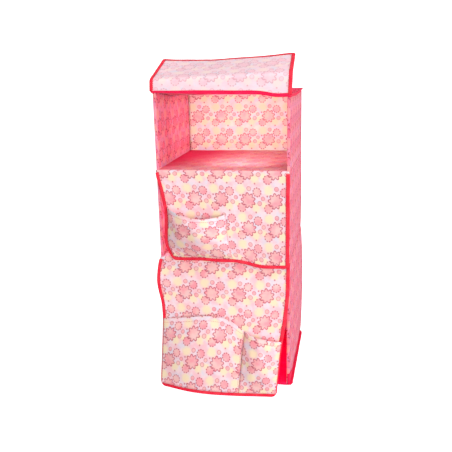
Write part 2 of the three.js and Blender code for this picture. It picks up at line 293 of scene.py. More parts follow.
def spoke_cosine(offset, spokes, turn):
    """Cosine of the angle to the nearest of some evenly spaced spokes."""
    angle = offset.part(1).math("ARCTAN2", offset.part(0))
    share = angle.math("MULTIPLY_ADD", spokes / TAU, turn).math("FRACT")
    return share.math("MULTIPLY_ADD", TAU / spokes, -math.pi / spokes).math("COSINE")


def spoke_distance(offset, distance, spokes, reach, turn):
    """Distance to the nearest of some round spots set evenly on a circle."""
    outward = distance * spoke_cosine(offset, spokes, turn)
    squared = outward.math("MULTIPLY_ADD", -2 * reach, distance * distance) + reach * reach
    return squared.math("MAXIMUM", 0.0).math("SQRT")


def petal_flower(place, centre, repeat, petals, reach, radius, turn):
    """Fill and outline of a flower with long round petals, outlined round their outer halves."""
    offset, distance = motif(place, centre, repeat)
    outward = distance * spoke_cosine(offset, petals, turn)
    sideways = distance * distance - outward * outward
    along = (outward - reach) * 0.62
    petal = (along * along + sideways).math("MAXIMUM", 0.0).math("SQRT")
    fill = petal.below(radius, 0.8).math("MAXIMUM", distance.below(reach - 2.5, 0.8))
    rim = (petal - radius).math("ABSOLUTE").below(0.75, 0.7)
    tips = 1 - outward.below(reach - 0.8, 1.5)
    return fill, rim * tips


def dotted_flower(place, centre, repeat, spots, radius, turn):
    """Fill and spots of a small round flower with a ring of dark spots at its edge."""
    offset, distance = motif(place, centre, repeat)
    scallop = spoke_distance(offset, distance, spots, radius, turn)
    edge = (distance - radius).math("ABSOLUTE").below(0.35, 0.8) * 0.6
    return distance.below(radius, 1.0), scallop.below(1.5, 0.8).math("MAXIMUM", edge)


def ring(place, centre, repeat, radius, width):
    """Fill and outline of a ring."""
    _, distance = motif(place, centre, repeat)
    return distance.below(radius, 0.8), (distance - radius).math("ABSOLUTE").below(width, 0.7) * 0.75


# The print's motifs, in millimetres within one repeat. Each starts with its centre.
PETAL_FLOWERS = (((30, 30), 9, 10.9, 3.3, 0.1),)
DOTTED_FLOWERS = (((14, 14), 9, 9.0, 0.3), ((51, 48), 10, 9.0, 0.0))
RINGS = (
    ((33, 55), 4.4, 0.6), ((56, 25), 4.5, 0.6), ((2, 35), 4.0, 0.6), ((47, 6), 1.0, 1.0),
    ((12, 40), 1.0, 1.0),
)
BLOTCHES = (((15, 53), 10), ((47, 16), 9), ((4, 22), 6))
BLOTCH_BLUR = 7


def print_masks(place):
    """Masks of the whole print: its filled flowers, their outlines and the warm blotches."""
    settings = cloth_settings()
    repeat = (settings.print_width / MM, settings.print_height / MM)
    shapes = [
        draw(place, centre, repeat, *rest)
        for draw, motifs in ((petal_flower, PETAL_FLOWERS), (dotted_flower, DOTTED_FLOWERS), (ring, RINGS))
        for centre, *rest in motifs
    ]
    fill, line = shapes[0]
    for more_fill, more_line in shapes[1:]:
        fill = fill.math("MAXIMUM", more_fill)
        line = line.math("MAXIMUM", more_line)
    uneven = grain(place, 0.16, 1.0) * 9 - 4.5
    blotch = None
    for centre, radius in BLOTCHES:
        spot = (motif(place, centre, repeat)[1] + uneven).below(radius, BLOTCH_BLUR)
        blotch = blotch.math("MAXIMUM", spot) if blotch else spot
    return fill, line, blotch


def nonwoven_height(place):
    """Spunbond cloth: a lattice of small pressed spots between fine fibres."""
    pitch = 1.7
    lattice = (place.part(0) * (TAU / pitch)).math("SINE") * (place.part(1) * (TAU / pitch)).math("SINE")
    fibres = grain(place.vector("MULTIPLY", (1, 0.35, 1)), 2.4, 2.0)
    slack = grain(place, 0.05, 3.0)
    return lattice.below(0.45, 0.5) * 0.35 + fibres * 0.5 + slack * 3.0


# Painted shade of the upper shelf's cloth and painted shadow at its back-left corner, and the light that
# comes through printed cloth.
SHELF_PAINTED_SHADE = (0.95, 0.22, 0.30)
CORNER_PAINTED_SHADOW = (0.93, 0.01, 0.14)
GLOW = (1.0, 0.55, 0.62)
GLOW_SHARE = 0.22
PALETTE = ("ground", "cool", "blotch", "halo", "petal", "line")


def printed_cloth(name, tint=None, faint=0.0, shade=None, shelf=None):
    """Printed cloth. tint replaces some print colours, faint mutes the print towards the ground,
    shade multiplies it all unevenly as painted shade, making the darker copies for the side panels and
    shelf undersides, and shelf is where the shelf's front and back edges lie on the sheet, whose shelf part
    is darkened by painted shade that deepens to crimson at its back left."""
    palette = {key: linear(getattr(colours(), key)) for key in PALETTE}
    palette.update({key: linear(value) for key, value in (tint or {}).items()})
    material, shader = new_material(name, 0.82, 0.12)
    place = uv_in_mm(material)
    fill, line, blotch = print_masks(place)
    cloud = grain(place, 0.045, 2.0)
    patches = grain(place.vector("ADD", (137, 61, 0)), 0.05, 1.5)
    cool = grain(place.vector("ADD", (31, 211, 0)), 0.055, 1.0)
    colour = colour_over(cloud, palette["cool"], palette["ground"], 1 - cool.below(0.54, 0.12))
    colour = colour_over(cloud, palette["halo"], colour, (1 - cloud.below(0.52, 0.2)) * 0.6)
    colour = colour_over(cloud, palette["blotch"], colour, blotch * 0.9)
    peach = tuple(0.6 * p + 0.4 * b for p, b in zip(palette["petal"], palette["blotch"]))
    petal = colour_over(cloud, peach, palette["petal"], 1 - patches.below(0.5, 0.25))
    wash = patches.math("MULTIPLY_ADD", -0.9, 1.25, clamp=True)
    colour = colour_over(cloud, petal, colour, fill * wash * (0.9 - 0.35 * faint))
    colour = colour_over(cloud, palette["line"], colour, line * (0.85 - 0.45 * faint))
    # Painted shade: the whole print is multiplied by the shade colour in uneven streaks, standing in for
    # cloth that faces away from the light.
    if shade:
        streaks = grain(place.vector("MULTIPLY", (1, 0.5, 1)), 0.09, 3.0)
        amount = streaks.math("MULTIPLY_ADD", 0.9, 0.42, clamp=True)
        colour = colour_over(cloud, linear(shade), colour, amount, "MULTIPLY")
    # Painted shade: where the sheet lies on the shelf it is darkened, and a painted crimson shadow fills
    # its back-left corner.
    if shelf:
        front, back = shelf
        inside = 1 - place.part(1).below(front + 3, 8)
        corner = (place.part(0) + (back - place.part(1)) * 0.5).below(165, 130)
        colour = colour_over(cloud, SHELF_PAINTED_SHADE, colour, inside * 0.45)
        colour = colour_over(cloud, CORNER_PAINTED_SHADOW, colour, inside * corner * 0.92)
    height = nonwoven_height(place)
    dress(shader, colour, (height, 0.03, 0.74), (height, 0.3, 0.0005))
    let_light_through(material, GLOW, GLOW_SHARE)
    return material


def plain_cloth(name, colour, worn, roughness=0.75):
    """Dyed cloth with no print: colour, and a worn tint that shows in patches, with finer darker specks."""
    material, shader = new_material(name, roughness, 0.2)
    place = uv_in_mm(material)
    cloud = grain(place, 0.06, 4.0)
    fine = grain(place, 0.9, 2.0)
    mixed = colour_over(cloud, worn, colour, (1 - cloud.below(0.52, 0.25)) * 0.6)
    mixed = colour_over(cloud, tuple(0.75 * c for c in colour), mixed, (1 - fine.below(0.58, 0.2)) * 0.45)
    height = nonwoven_height(place)
    dress(shader, mixed, (height, 0.04, roughness - 0.08), (height, 0.45, 0.0006))
    return material


def grey_board(name):
    """Pressed grey board: flecks and a faint streak along its length."""
    material, shader = new_material(name, 0.9, 0.1)
    place = object_in_mm(material)
    flecks = grain(place, 0.7, 4.0)
    streaks = grain(place.vector("MULTIPLY", (1, 1, 0.08)), 0.4, 2.0)
    colour = colour_over(flecks, (0.20, 0.18, 0.15), (0.34, 0.31, 0.27), 1 - flecks.below(0.6, 0.1))
    colour = colour_over(flecks, (0.42, 0.39, 0.34), colour, (1 - streaks.below(0.55, 0.2)) * 0.5)
    dress(shader, colour, (flecks, 0.1, 0.85), (flecks + streaks, 0.3, 0.0004))
    return material


def woven_webbing(name, colour):
    """Ribbed webbing: rows of ribs across the strap, each made of slanting threads."""
    material, shader = new_material(name, 0.65, 0.3)
    place = uv_in_mm(material)
    ribs = (place.part(1) * (TAU / 1.6)).math("SINE")
    threads = ((place.part(0) + place.part(1) * 0.5) * (TAU / 0.9)).math("SINE")
    height = ribs * 0.6 + threads * 0.4
    # Painted shade: the low parts between the ribs and threads are darkened.
    dark = tuple(0.55 * c for c in colour)
    mixed = colour_over(height, dark, colour, height.below(-0.2, 0.9) * 0.7)
    dress(shader, mixed, (height, -0.05, 0.65), (height, 0.6, 0.0004))
    return material


def grip_pile(name, colour, pitch):
    """Hook or loop tape: a field of small tufts set pitch millimetres apart."""
    material, shader = new_material(name, 0.9, 0.1)
    place = uv_in_mm(material)
    tufts = place.node("ShaderNodeTexVoronoi", None, {"Vector": place, "Scale": 1 / pitch})
    shade = tuple(0.6 * c for c in colour)
    mixed = colour_over(tufts, shade, colour, 1 - tufts.below(0.42, 0.3))
    dress(shader, mixed, (tufts, 0.1, 0.85), (1 - tufts, 0.7, 0.0006))
    return material


def sewing_thread(name, colour):
    """Twisted thread."""
    material, shader = new_material(name, 0.55, 0.35)
    place = object_in_mm(material)
    twist = ((place.part(0) + place.part(1) + place.part(2)) * (TAU / 0.5)).math("SINE")
    # Painted shade: the grooves of the twist are darkened.
    dark = tuple(0.6 * c for c in colour)
    mixed = colour_over(twist, dark, colour, twist.below(0.0, 1.2) * 0.6)
    dress(shader, mixed, (twist, 0.05, 0.55))
    return material


MATERIALS = {}


def make_materials():
    tape = linear(colours().tape)
    crimson = linear(colours().crimson)
    pale = {
        "ground": (0.985, 0.90, 0.93), "halo": (0.99, 0.86, 0.90), "blotch": (0.99, 0.92, 0.90),
        "petal": (0.98, 0.80, 0.85), "line": (0.80, 0.55, 0.62),
    }
    # The back lining's creamier ground is partly its own colour and partly painted light: it is made
    # lighter to brighten the back wall.
    warm = {"ground": (1.0, 0.97, 0.92), "halo": (1.0, 0.87, 0.84), "petal": (1.0, 0.70, 0.72)}
    front = (MIDDLE_LENGTH + MIDDLE_SHIFT[1]) / MM
    shelf = (front, front + MIDDLE_SHELF_LENGTH / MM)
    MATERIALS.update(
        print_front=printed_cloth("floral_cloth_front"),
        # Painted shade: the side cloth, used on the walls, linings and roof lining, and the shelf cloth,
        # used under the shelves, are darker copies of the front print.
        print_side=printed_cloth("floral_cloth_side_painted_shade", shade=(1.0, 0.61, 0.75)),
        print_shelf=printed_cloth("floral_cloth_shelf_painted_shade", shade=(1.0, 0.48, 0.58)),
        # Painted shade on the shelf part of the middle sheet, deepening to a painted crimson shadow at its
        # back-left corner.
        print_middle=printed_cloth("floral_cloth_middle_shelf_painted_shade", shelf=shelf),
        print_back=printed_cloth("floral_cloth_back", tint=warm),
        reverse=printed_cloth("floral_cloth_reverse", tint=pale, faint=0.5),
        tape=plain_cloth("red_edge_tape", tape, (0.92, 0.06, 0.09)),
        crimson_tape=plain_cloth("crimson_edge_tape", (0.80, 0.004, 0.06), (0.88, 0.015, 0.10)),
        crimson=plain_cloth("crimson_base_cloth", crimson, (0.95, 0.03, 0.14)),
        board=grey_board("grey_board"),
        webbing=woven_webbing("red_webbing", (0.70, 0.02, 0.06)),
        hook=grip_pile("hook_tape", (0.85, 0.50, 0.55), 1.3),
        loop=grip_pile("loop_tape", (0.90, 0.60, 0.64), 0.7),
        thread=sewing_thread("red_thread", (0.62, 0.01, 0.05)),
        pink_thread=sewing_thread("pink_thread", (0.80, 0.10, 0.22)),
    )


# ---------------------------------------------------------------- cloth pieces


def ease(value):
    """A smooth step from 0 to 1 as value goes from 0 to 1."""
    value = min(max(value, 0.0), 1.0)
    return value * value * (3 - 2 * value)


def mix(a, b, share):
    return a + (b - a) * share


def through(value, stops, soften):
    """A soft curve through stops, each (position, value) in millimetres, at value in metres."""
    def straight(at):
        if at <= stops[0][0]:
            return stops[0][1]
        for (a, low), (b, high) in zip(stops, stops[1:]):
            if at <= b:
                return mix(low, high, (at - a) / (b - a))
        return stops[-1][1]

    samples = [straight(value / MM + soften * step / 3) for step in (-3, -2, -1, 0, 1, 2, 3)]
    return sum(samples) / len(samples) * MM


def ripples(place, size, seed):
    """Smooth noise from about -1 to 1 over a place in metres, with waves about size across."""
    return noise.noise(Vector(place) / size + Vector((seed * 7.3, seed * 3.1, seed * 1.7)))


def link_object(name, data):
    """A new object at the origin, in the scene."""
    made = bpy.data.objects.new(name, data)
    bpy.context.scene.collection.objects.link(made)
    return made


def mesh_object(name, bm, materials):
    """A bmesh as an object at the origin, shaded smooth, with its materials."""
    mesh = bpy.data.meshes.new(name)
    bm.to_mesh(mesh)
    bm.free()
    for material in materials:
        mesh.materials.append(material)
    mesh.shade_smooth()
    return link_object(name, mesh)


def add_object(name, bm, materials):
    """A piece of the organiser."""
    piece = mesh_object(name, bm, materials)
    return piece


def give_thickness(piece, thickness, two_sided):
    """Makes a sheet two-sided and closed, with the second material on its reverse."""
    solid = piece.modifiers.new("Thickness", "SOLIDIFY")
    solid.thickness = thickness
    solid.offset = 0
    solid.material_offset = 1 if two_sided else 0


def even(share):
    return share


def lay_cloth(
    name, flat, place, columns, rows, face, reverse=None,
    across=even, down=even, shift=(0.0, 0.0), thickness=None, corner=0.0,
):
    """A sheet cut to flat = (width, length), where place(x, y) puts the point x across and y down.

    across and down spread the grid's lines, shift moves the print on the cloth,
    and corner rounds the two far corners.
    """
    width, length = flat
    bm = bmesh.new()
    bmesh.ops.create_grid(bm, x_segments=columns, y_segments=rows, size=0.5)
    low = min(vert.co.x for vert in bm.verts)
    layer = bm.loops.layers.uv.new("UVMap")
    cut = {}
    for vert in bm.verts:
        share_x = (vert.co.x - low) / (-2 * low)
        share_y = (-low - vert.co.y) / (-2 * low)
        cut[vert] = rounded(across(share_x) * width, down(share_y) * length, width, length, corner)
    for face_made in bm.faces:
        for loop in face_made.loops:
            x, y = cut[loop.vert]
            loop[layer].uv = (x + shift[0], length - y + shift[1])
    for vert, (x, y) in cut.items():
        vert.co = place(x, y)
    bm.normal_update()
    materials = [face, reverse] if reverse else [face]
    piece = add_object(name, bm, materials)
    give_thickness(piece, thickness or cloth_settings().thickness, bool(reverse))
    return piece


def lay_tape(name, flat, place, columns, rows, material="crimson_tape"):
    """Edge tape, laid as cloth is."""
    return lay_cloth(
        name, flat, place, columns, rows, MATERIALS[material],
        thickness=cloth_settings().tape_thickness,
    )


def rounded(x, y, width, length, radius):
    """The point (x, y) of a sheet, drawn in where the far corners are rounded."""
    if radius <= 0 or y <= length - radius:
        return x, y
    side = -1 if x < width / 2 else 1
    from_side = x if side < 0 else width - x
    if from_side >= radius:
        return x, y
    dx = radius - from_side
    dy = y - (length - radius)
    reach = math.hypot(dx, dy)
    if reach == 0:
        return x, y
    scale = max(dx, dy) / reach
    near = radius - dx * scale
    return (near if side < 0 else width - near), length - radius + dy * scale


def surface_frame(place, x, y, step=0.5 * MM):
    """The unit direction across, the one down and the outward normal of a sheet at (x, y)."""
    across = (place(x + step, y) - place(x - step, y)).normalized()
    down = (place(x, y + step) - place(x, y - step)).normalized()
    return across, down, down.cross(across).normalized()


def edge_frame(place, at, distance):
    """The point of a path in a sheet, the direction in from it, and the sheet's normal there."""
    (px, py), (dx, dy) = at(distance)
    across, down, normal = surface_frame(place, px, py)
    along = (across * dx + down * dy).normalized()
    return place(px, py), normal.cross(along).normalized(), normal


def three_edges(width, start, length, radius, end=None):
    """A path in the cut sheet: down the left edge from start, round the free edge, up the right
    one to end.

    Returns its length and a function from a distance to a point and its direction.
    """
    straight = length - radius - start
    last = length - radius - (start if end is None else end)
    bend = math.pi * radius / 2
    bottom = width - 2 * radius

    def at(distance):
        if distance <= straight:
            return (0.0, start + distance), (0.0, 1.0)
        distance -= straight
        if distance <= bend:
            angle = distance / radius
            point = (radius - radius * math.cos(angle), length - radius + radius * math.sin(angle))
            return point, (math.sin(angle), math.cos(angle))
        distance -= bend
        if distance <= bottom:
            return (radius + distance, length), (1.0, 0.0)
        distance -= bottom
        if distance <= bend:
            angle = distance / radius
            point = (width - radius + radius * math.sin(angle), length - radius + radius * math.cos(angle))
            return point, (math.cos(angle), -math.sin(angle))
        distance -= bend
        return (width, length - radius - distance), (0.0, -1.0)

    return straight + last + 2 * bend + bottom, at


def fold_section(half, inset):
    """The section of a tape folded over an edge: a function from a share to (inward, outward)."""
    arc = math.pi * half
    total = 2 * inset + arc

    def at(share):
        distance = share * total
        if distance < inset:
            return inset - distance, half
        if distance < inset + arc:
            angle = (distance - inset) / half
            return -half * math.sin(angle), half * math.cos(angle)
        return distance - inset - arc, -half

    return total, at


def folded_tape(name, place, path, material, half=1.15 * MM, inset=TAPE_INSET, seed=1.0):
    """A tape folded over the edge of a sheet, along a path in the cut sheet, a little puckered."""
    length, at = path
    section_length, section = fold_section(half, inset)

    def on_tape(x, y):
        point, inward, normal = edge_frame(place, at, min(max(y, 0.0), length))
        reach, out = section(x / section_length)
        pucker = ripples((y, x * 0.3, 0), 11 * MM, seed)
        reach += 0.5 * MM * ripples((y, 0, 0), 23 * MM, seed + 4) * (1 if reach > 0 else 0.3)
        out *= 1 + 0.22 * pucker
        return point + inward * reach + normal * out

    steps = max(8, int(length / (4 * MM)))
    return lay_cloth(
        name, (section_length, length), on_tape, 14, steps, material,
        thickness=cloth_settings().tape_thickness, shift=(seed * 0.03, 0),
    )


def stitch_line(bm, points, normals, length, gap, radius):
    """Adds a row of stitches to a bmesh along points on a surface."""
    travelled = 0.0
    next_start = gap
    for index in range(len(points) - 1):
        a = points[index]
        b = points[index + 1]
        span = (b - a).length
        while travelled + span >= next_start + length / 2 and span > 0:
            share = (next_start + length / 2 - travelled) / span
            centre = a.lerp(b, share)
            along = (b - a).normalized()
            out = normals[index].normalized()
            side = out.cross(along).normalized()
            out = along.cross(side)
            turn = Matrix((
                (along.x * length / 2, side.x * radius, out.x * radius * 0.8, centre.x),
                (along.y * length / 2, side.y * radius, out.y * radius * 0.8, centre.y),
                (along.z * length / 2, side.z * radius, out.z * radius * 0.8, centre.z),
                (0, 0, 0, 1),
            ))
            bmesh.ops.create_uvsphere(bm, u_segments=6, v_segments=4, radius=1, matrix=turn)
            next_start += length + gap
        travelled += span


def stitches(name, lines, material, length=None, radius=0.36 * MM):
    """One object holding rows of stitches. Each line is (points, normals)."""
    bm = bmesh.new()
    length = length or cloth_settings().stitch
    for points, normals in lines:
        stitch_line(bm, points, normals, length, STITCH_GAP, radius)
    return add_object(name, bm, [material])


def row_on(place, path, inward_by, lift, step=2 * MM):
    """Points and normals of a stitch row that follows a path in the cut sheet."""
    length, at = path
    points = []
    normals = []
    for index in range(int(length / step) + 1):
        point, inward, normal = edge_frame(place, at, min(index * step, length))
        points.append(point + inward * inward_by + normal * lift)
        normals.append(normal * (1 if lift > 0 else -1))
    return points, normals


def straight_path(start, end):
    """A straight path in a cut sheet, as three_edges gives one."""
    dx = end[0] - start[0]
    dy = end[1] - start[1]
    length = math.hypot(dx, dy)

    def at(distance):
        share = distance / length
        return (start[0] + dx * share, start[1] + dy * share), (dx / length, dy / length)

    return length, at


# ---------------------------------------------------------------- walls


def tier_share(z):
    """How far up its tier a height is, from 0 to 1."""
    for low, high in TIERS:
        if z <= high:
            return min(max((z - low) / (high - low), 0.0), 1.0)
    return 1.0


# Height of the lower edge of the crimson band, at each place along the roof's front.
ROOF_BAND = ((-150, 683), (-13, 679), (93, 677), (121, 670.5), (150, 672))
LIFTED_DEPTH = 150 * MM
LIFTED_HEIGHT = 100 * MM


def roof_band_foot(x):
    """Height of the lower edge of the crimson band along the roof's front."""
    wave = 0.8 * MM * ripples((x, 0, 0), 55 * MM, 53)
    return through(x, ROOF_BAND, 14) + wave


def roof_lift(x, y):
    """How far the roof's front is bowed up by the flap that's thrown over it."""
    rise = roof_band_foot(x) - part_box("roof_lining")[0].z
    return max(rise, 0.0) * (1 - ease((y - FRONT) / LIFTED_DEPTH))


def wall_lift(x, y, z):
    """How far a wall's cloth is drawn up under the bowed roof."""
    return roof_lift(x, y) * ease((z - ROOF + LIFTED_HEIGHT) / LIFTED_HEIGHT)


TIER_SWELLS = (5.5 * MM, 1.2 * MM, 0.4 * MM)


def wall_swell(z, back_share):
    """How far a wall's skin stands out: slack in the bottom tier, and drawn in at the seams."""
    for (low, high), swell in zip(TIERS, TIER_SWELLS):
        if z <= high:
            break
    share = abs(math.sin(math.pi * tier_share(z))) ** 0.5
    return swell * share * math.sin(math.pi / 2 * min(max(back_share, 0.0) * 1.6, 1.0))


def turned_edge(distance, lip, radius=EDGE_TURN):
    """A skin that runs along the wall's front edge, round its corner and back along the wall.

    Returns how far in from the wall's face, and how far back from its front, the point lies.
    """
    straight = lip - radius
    arc = math.pi * radius / 2
    if distance < straight:
        return lip - distance, 0.0
    if distance < straight + arc:
        angle = (distance - straight) / radius
        return radius - radius * math.sin(angle), radius - radius * math.cos(angle)
    return 0.0, radius + distance - straight - arc


def edge_first(share):
    """Grid lines set close together over a sheet's first few per cent."""
    return share * 0.2 if share < 0.25 else 0.05 + (share - 0.25) / 0.75 * 0.95


def edge_last(share):
    return 1 - edge_first(1 - share)


def make_side_skin(side, sign):
    """A side wall's printed skin, turned round the wall's front edge."""
    ripple = cloth_settings().ripple
    width = DEPTH + WALL
    height = ROOF

    def place(x, y):
        distance = x if sign > 0 else width - x
        inward, back = turned_edge(distance, WALL)
        z = height - y
        share = back / DEPTH
        swell = wall_swell(z, share)
        wave = ripple * 0.6 * (0.5 + ripples((back, z, 0), 70 * MM, 2 + sign)) * min(share * 6, 1.0)
        out = swell + wave - inward
        z += wall_lift(sign * HALF_W, FRONT + back, z)
        return Vector((sign * (HALF_W - HALF_CLOTH + out), FRONT + HALF_CLOTH + back, z))

    spread = edge_first if sign > 0 else edge_last
    skin = lay_cloth(
        f"cloth_skin_{side}", (width, height), place, 64, 130, MATERIALS["print_side"],
        MATERIALS["reverse"], across=spread, shift=(0.011, 0.02),
    )
    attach(skin, "box")
    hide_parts(f"skin_{side}")
    rows = []
    for z in (LOWER - 3 * MM, UPPER - 3 * MM):
        start = (width - 3 * MM, height - z) if sign < 0 else (WALL + 3 * MM, height - z)
        end = (3 * MM, height - z) if sign < 0 else (width - 3 * MM, height - z)
        rows.append(row_on(place, straight_path(start, end), 0, 0.5 * MM))
    seam = stitches(f"shelf_seams_{side}", rows, MATERIALS["thread"], length=4.5 * MM, radius=0.5 * MM)
    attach(seam, "box")


def make_back_skin():
    ripple = cloth_settings().ripple
    width = 2 * HALF_W - 2 * MM
    height = ROOF

    def place(x, y):
        z = height - y
        share = x / width
        side = 2 * share - 1
        swell = wall_swell(z, min(share, 1 - share) + 0.1)
        wave = ripple * (0.5 + ripples((x, z, 0), 80 * MM, 5))
        reach = HALF_W - 0.8 * MM + wall_swell(z, 1.0)
        return Vector((-side * reach, BACK - 0.5 * MM + (swell + wave) * (1 - abs(side) ** 8), z))

    skin = lay_cloth(
        "cloth_skin_back", (width, height), place, 56, 130, MATERIALS["print_side"],
        MATERIALS["reverse"], shift=(0.027, 0.02),
    )
    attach(skin, "box")
    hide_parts("skin_back")


def make_lining(side, face_material):
    """An inner skin, with soft hollows between the shelves."""
    ripple = cloth_settings().ripple
    low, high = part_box(f"lining_{side}")
    height = high.z - low.z
    width = (high.x - low.x) if side == "back" else (high.y - low.y)

    def place(x, y):
        z = high.z - y
        wave = ripple * 0.7 * (0.6 + ripples((x, z, 0), 60 * MM, 9))
        hollow = max(wave, 0) * math.sin(math.pi * tier_share(z)) ** 0.5
        if side == "back":
            return Vector((low.x + x, (low.y + high.y) / 2 - hollow, z))
        inward = 1 if side == "left" else -1
        py = low.y + x if side == "left" else high.y - x
        return Vector(((low.x + high.x) / 2 + inward * hollow, py, z + wall_lift(-inward * HALF_W, py, z)))

    lining = lay_cloth(
        f"cloth_lining_{side}", (width, height), place, 40, 110, face_material,
        MATERIALS["reverse"], shift=(0.005, 0.033),
    )
    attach(lining, "box")
    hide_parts(f"lining_{side}")


def level(x, y):
    return 0.0


def make_level_cloth(name, node, face, up, reverse=None, lift=level):
    """A level skin in place of a CAD one, facing up or down, on its board."""
    low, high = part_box(node)
    width = high.x - low.x
    length = high.y - low.y
    middle = (low.z + high.z) / 2

    def place(x, y):
        wave = 0.3 * MM * ripples((x, y, 0), 50 * MM, 11)
        px = low.x + x if up else high.x - x
        py = high.y - y
        return Vector((px, py, middle + wave + lift(px, py)))

    piece = lay_cloth(name, (width, length), place, 40, 40, face, reverse)
    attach(piece, "box")
    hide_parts(node)


def make_base_lining():
    """The plain crimson floor of the bottom tier, turned down over the base's front edge."""
    low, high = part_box("base_lining")
    lip = high.z - low.z
    width = high.x - low.x
    length = high.y - low.y + lip

    def place(x, y):
        inward, back = turned_edge(length - y, lip)
        wave = 0.5 * MM * (1 + ripples((x, y, 0), 45 * MM, 21)) * min(back / (20 * MM), 1)
        return Vector((low.x + x, low.y + HALF_CLOTH + back, high.z - HALF_CLOTH - inward + wave))

    piece = lay_cloth(
        "crimson_floor", (width, length), place, 40, 60, MATERIALS["crimson"],
        down=edge_last,
    )
    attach(piece, "box")
    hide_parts("base_lining")


# ---------------------------------------------------------------- tapes of the box


FRONT_TURN = 5.6 * MM
RIM_CORNER = 2.5 * MM
# How much further the base's tape climbs at the front corners, and along what length.
RIM_CLIMB = 2.2
RIM_CLIMB_LENGTH = 70 * MM


def rim_path(distance):
    """Point in plan and the direction out of the box, round the left, back and right walls.

    It starts and ends on the walls' front edges.
    """
    point = Vector((-HALF_W + FRONT_TURN, FRONT, 0))
    headings = ((-1, 0), (0, 1), (1, 0), (0, -1), (-1, 0))
    sides = (FRONT_TURN, DEPTH, 2 * HALF_W, DEPTH, FRONT_TURN)
    for side, (hx, hy) in zip(sides, headings):
        heading = Vector((hx, hy, 0))
        if distance <= side:
            break
        point = point + heading * side
        distance -= side
    return point + heading * min(distance, side), Vector((-heading.y, heading.x, 0))


RIM_LENGTH = 2 * FRONT_TURN + 2 * DEPTH + 2 * HALF_W


def make_rim_tape(name, node, upwards, cover):
    """A tape that covers the foot (or the top) of the walls and stands out of them as a flange.

    upwards is 1 where it climbs the wall and -1 where it hangs down over it, and cover is how
    far it does so, more towards the front corners.
    """
    low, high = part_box(node)
    flange = (high.x - HALF_W) * (1.1 if upwards > 0 else 0.6)
    half = (high.z - low.z) / 2 - 0.4 * MM
    middle = (low.z + high.z) / 2
    arc = math.pi * half
    width = cover + flange - half + arc + flange - half

    def section(distance, out, climb):
        """How far out and how high a point of the tape's section is."""
        if distance < cover:
            return 0.9 * MM, half + climb * (1 - distance / cover)
        distance -= cover
        if distance < flange - half:
            return 0.9 * MM + distance * out, half
        distance -= flange - half
        if distance < arc:
            angle = distance / half
            return (flange - half) * out + half * math.sin(angle), half * math.cos(angle)
        distance -= arc
        return (flange - half - distance) * out, -half

    def place(x, y):
        nearest = min(y, RIM_LENGTH - y)
        out = 0.12 + 0.88 * ease((nearest - FRONT_TURN) / (4 * MM))
        near_front = 1 - ease((nearest - FRONT_TURN) / RIM_CLIMB_LENGTH)
        climb = cover + RIM_CLIMB * cover * near_front * (upwards > 0)
        before, out_before = rim_path(max(y - RIM_CORNER, 0.0))
        after, out_after = rim_path(min(y + RIM_CORNER, RIM_LENGTH))
        outward = (out_before + out_after).normalized()
        point = (before + after) / 2
        reach, rise = section(x, out, climb)
        reach += 0.35 * MM * ripples((y, x * 0.4, middle), 20 * MM, 31) * out
        swell = wall_swell(middle + upwards * max(rise, 0), min((point.y - FRONT) / DEPTH, 1.0))
        droop = 0.7 * MM * ripples((y, 0, middle), 42 * MM, 33) * (upwards < 0)
        lift = roof_lift(point.x, point.y) * (upwards < 0)
        height = middle + upwards * rise + droop + lift
        return point + outward * (reach + swell * (rise > half)) + Vector((0, 0, height))

    steps = int(RIM_LENGTH / (4 * MM))
    piece = lay_tape(name, (width, RIM_LENGTH), place, 18, steps)
    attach(piece, "box")
    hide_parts(node)


def make_corner_tape(side, sign):
    """A tape folded round an upright back corner."""
    node = f"corner_tape_{side}"
    low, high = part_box(node)
    width = 16 * MM
    length = high.z - low.z
    radius = 2.5 * MM

    def place(x, y):
        z = high.z - y
        swell = wall_swell(z, 1.0)
        along = x if sign < 0 else width - x
        reach = along - width / 2
        arc = math.pi * radius / 4
        edge = HALF_W + 0.6 * MM + swell
        back = BACK + 0.6 * MM + swell
        lift = 0.2 * MM * (1 + ripples((x, z, 0), 9 * MM, 41 + sign))
        if reach > arc:
            return Vector((sign * (edge + lift), back - radius - (reach - arc), z))
        if reach < -arc:
            return Vector((sign * (edge - radius - (-reach - arc)), back + lift, z))
        angle = math.pi / 4 + reach / radius
        turn = radius + lift
        return Vector((
            sign * (edge - radius + turn * math.sin(angle)), back - radius + turn * math.cos(angle), z
        ))

    piece = lay_tape(f"cloth_{node}", (width, length), place, 14, 130, "tape")
    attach(piece, "box")
    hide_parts(node)


def make_roof_front_tape():
    """The crimson tape over the roof's front edge."""
    width = 2 * HALF_W
    drop = 6 * MM
    over = 10 * MM
    radius = 1.5 * MM

    def place(x, y):
        inward, back = turned_edge(drop + over - y, drop, radius)
        px = x - HALF_W
        top = ROOF + 0.9 * MM + roof_lift(px, FRONT + back)
        z = mix(top, roof_band_foot(px), inward / drop)
        wave = 0.3 * MM * ripples((x, y * 0.4, 0), 18 * MM, 51)
        return Vector((px, FRONT - 1.0 * MM + back + wave * (1 if back < MM else 0), z))

    piece = lay_tape("cloth_roof_front_tape", (width, drop + over), place, 90, 16)
    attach(piece, "box")
    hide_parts("roof_front_tape")


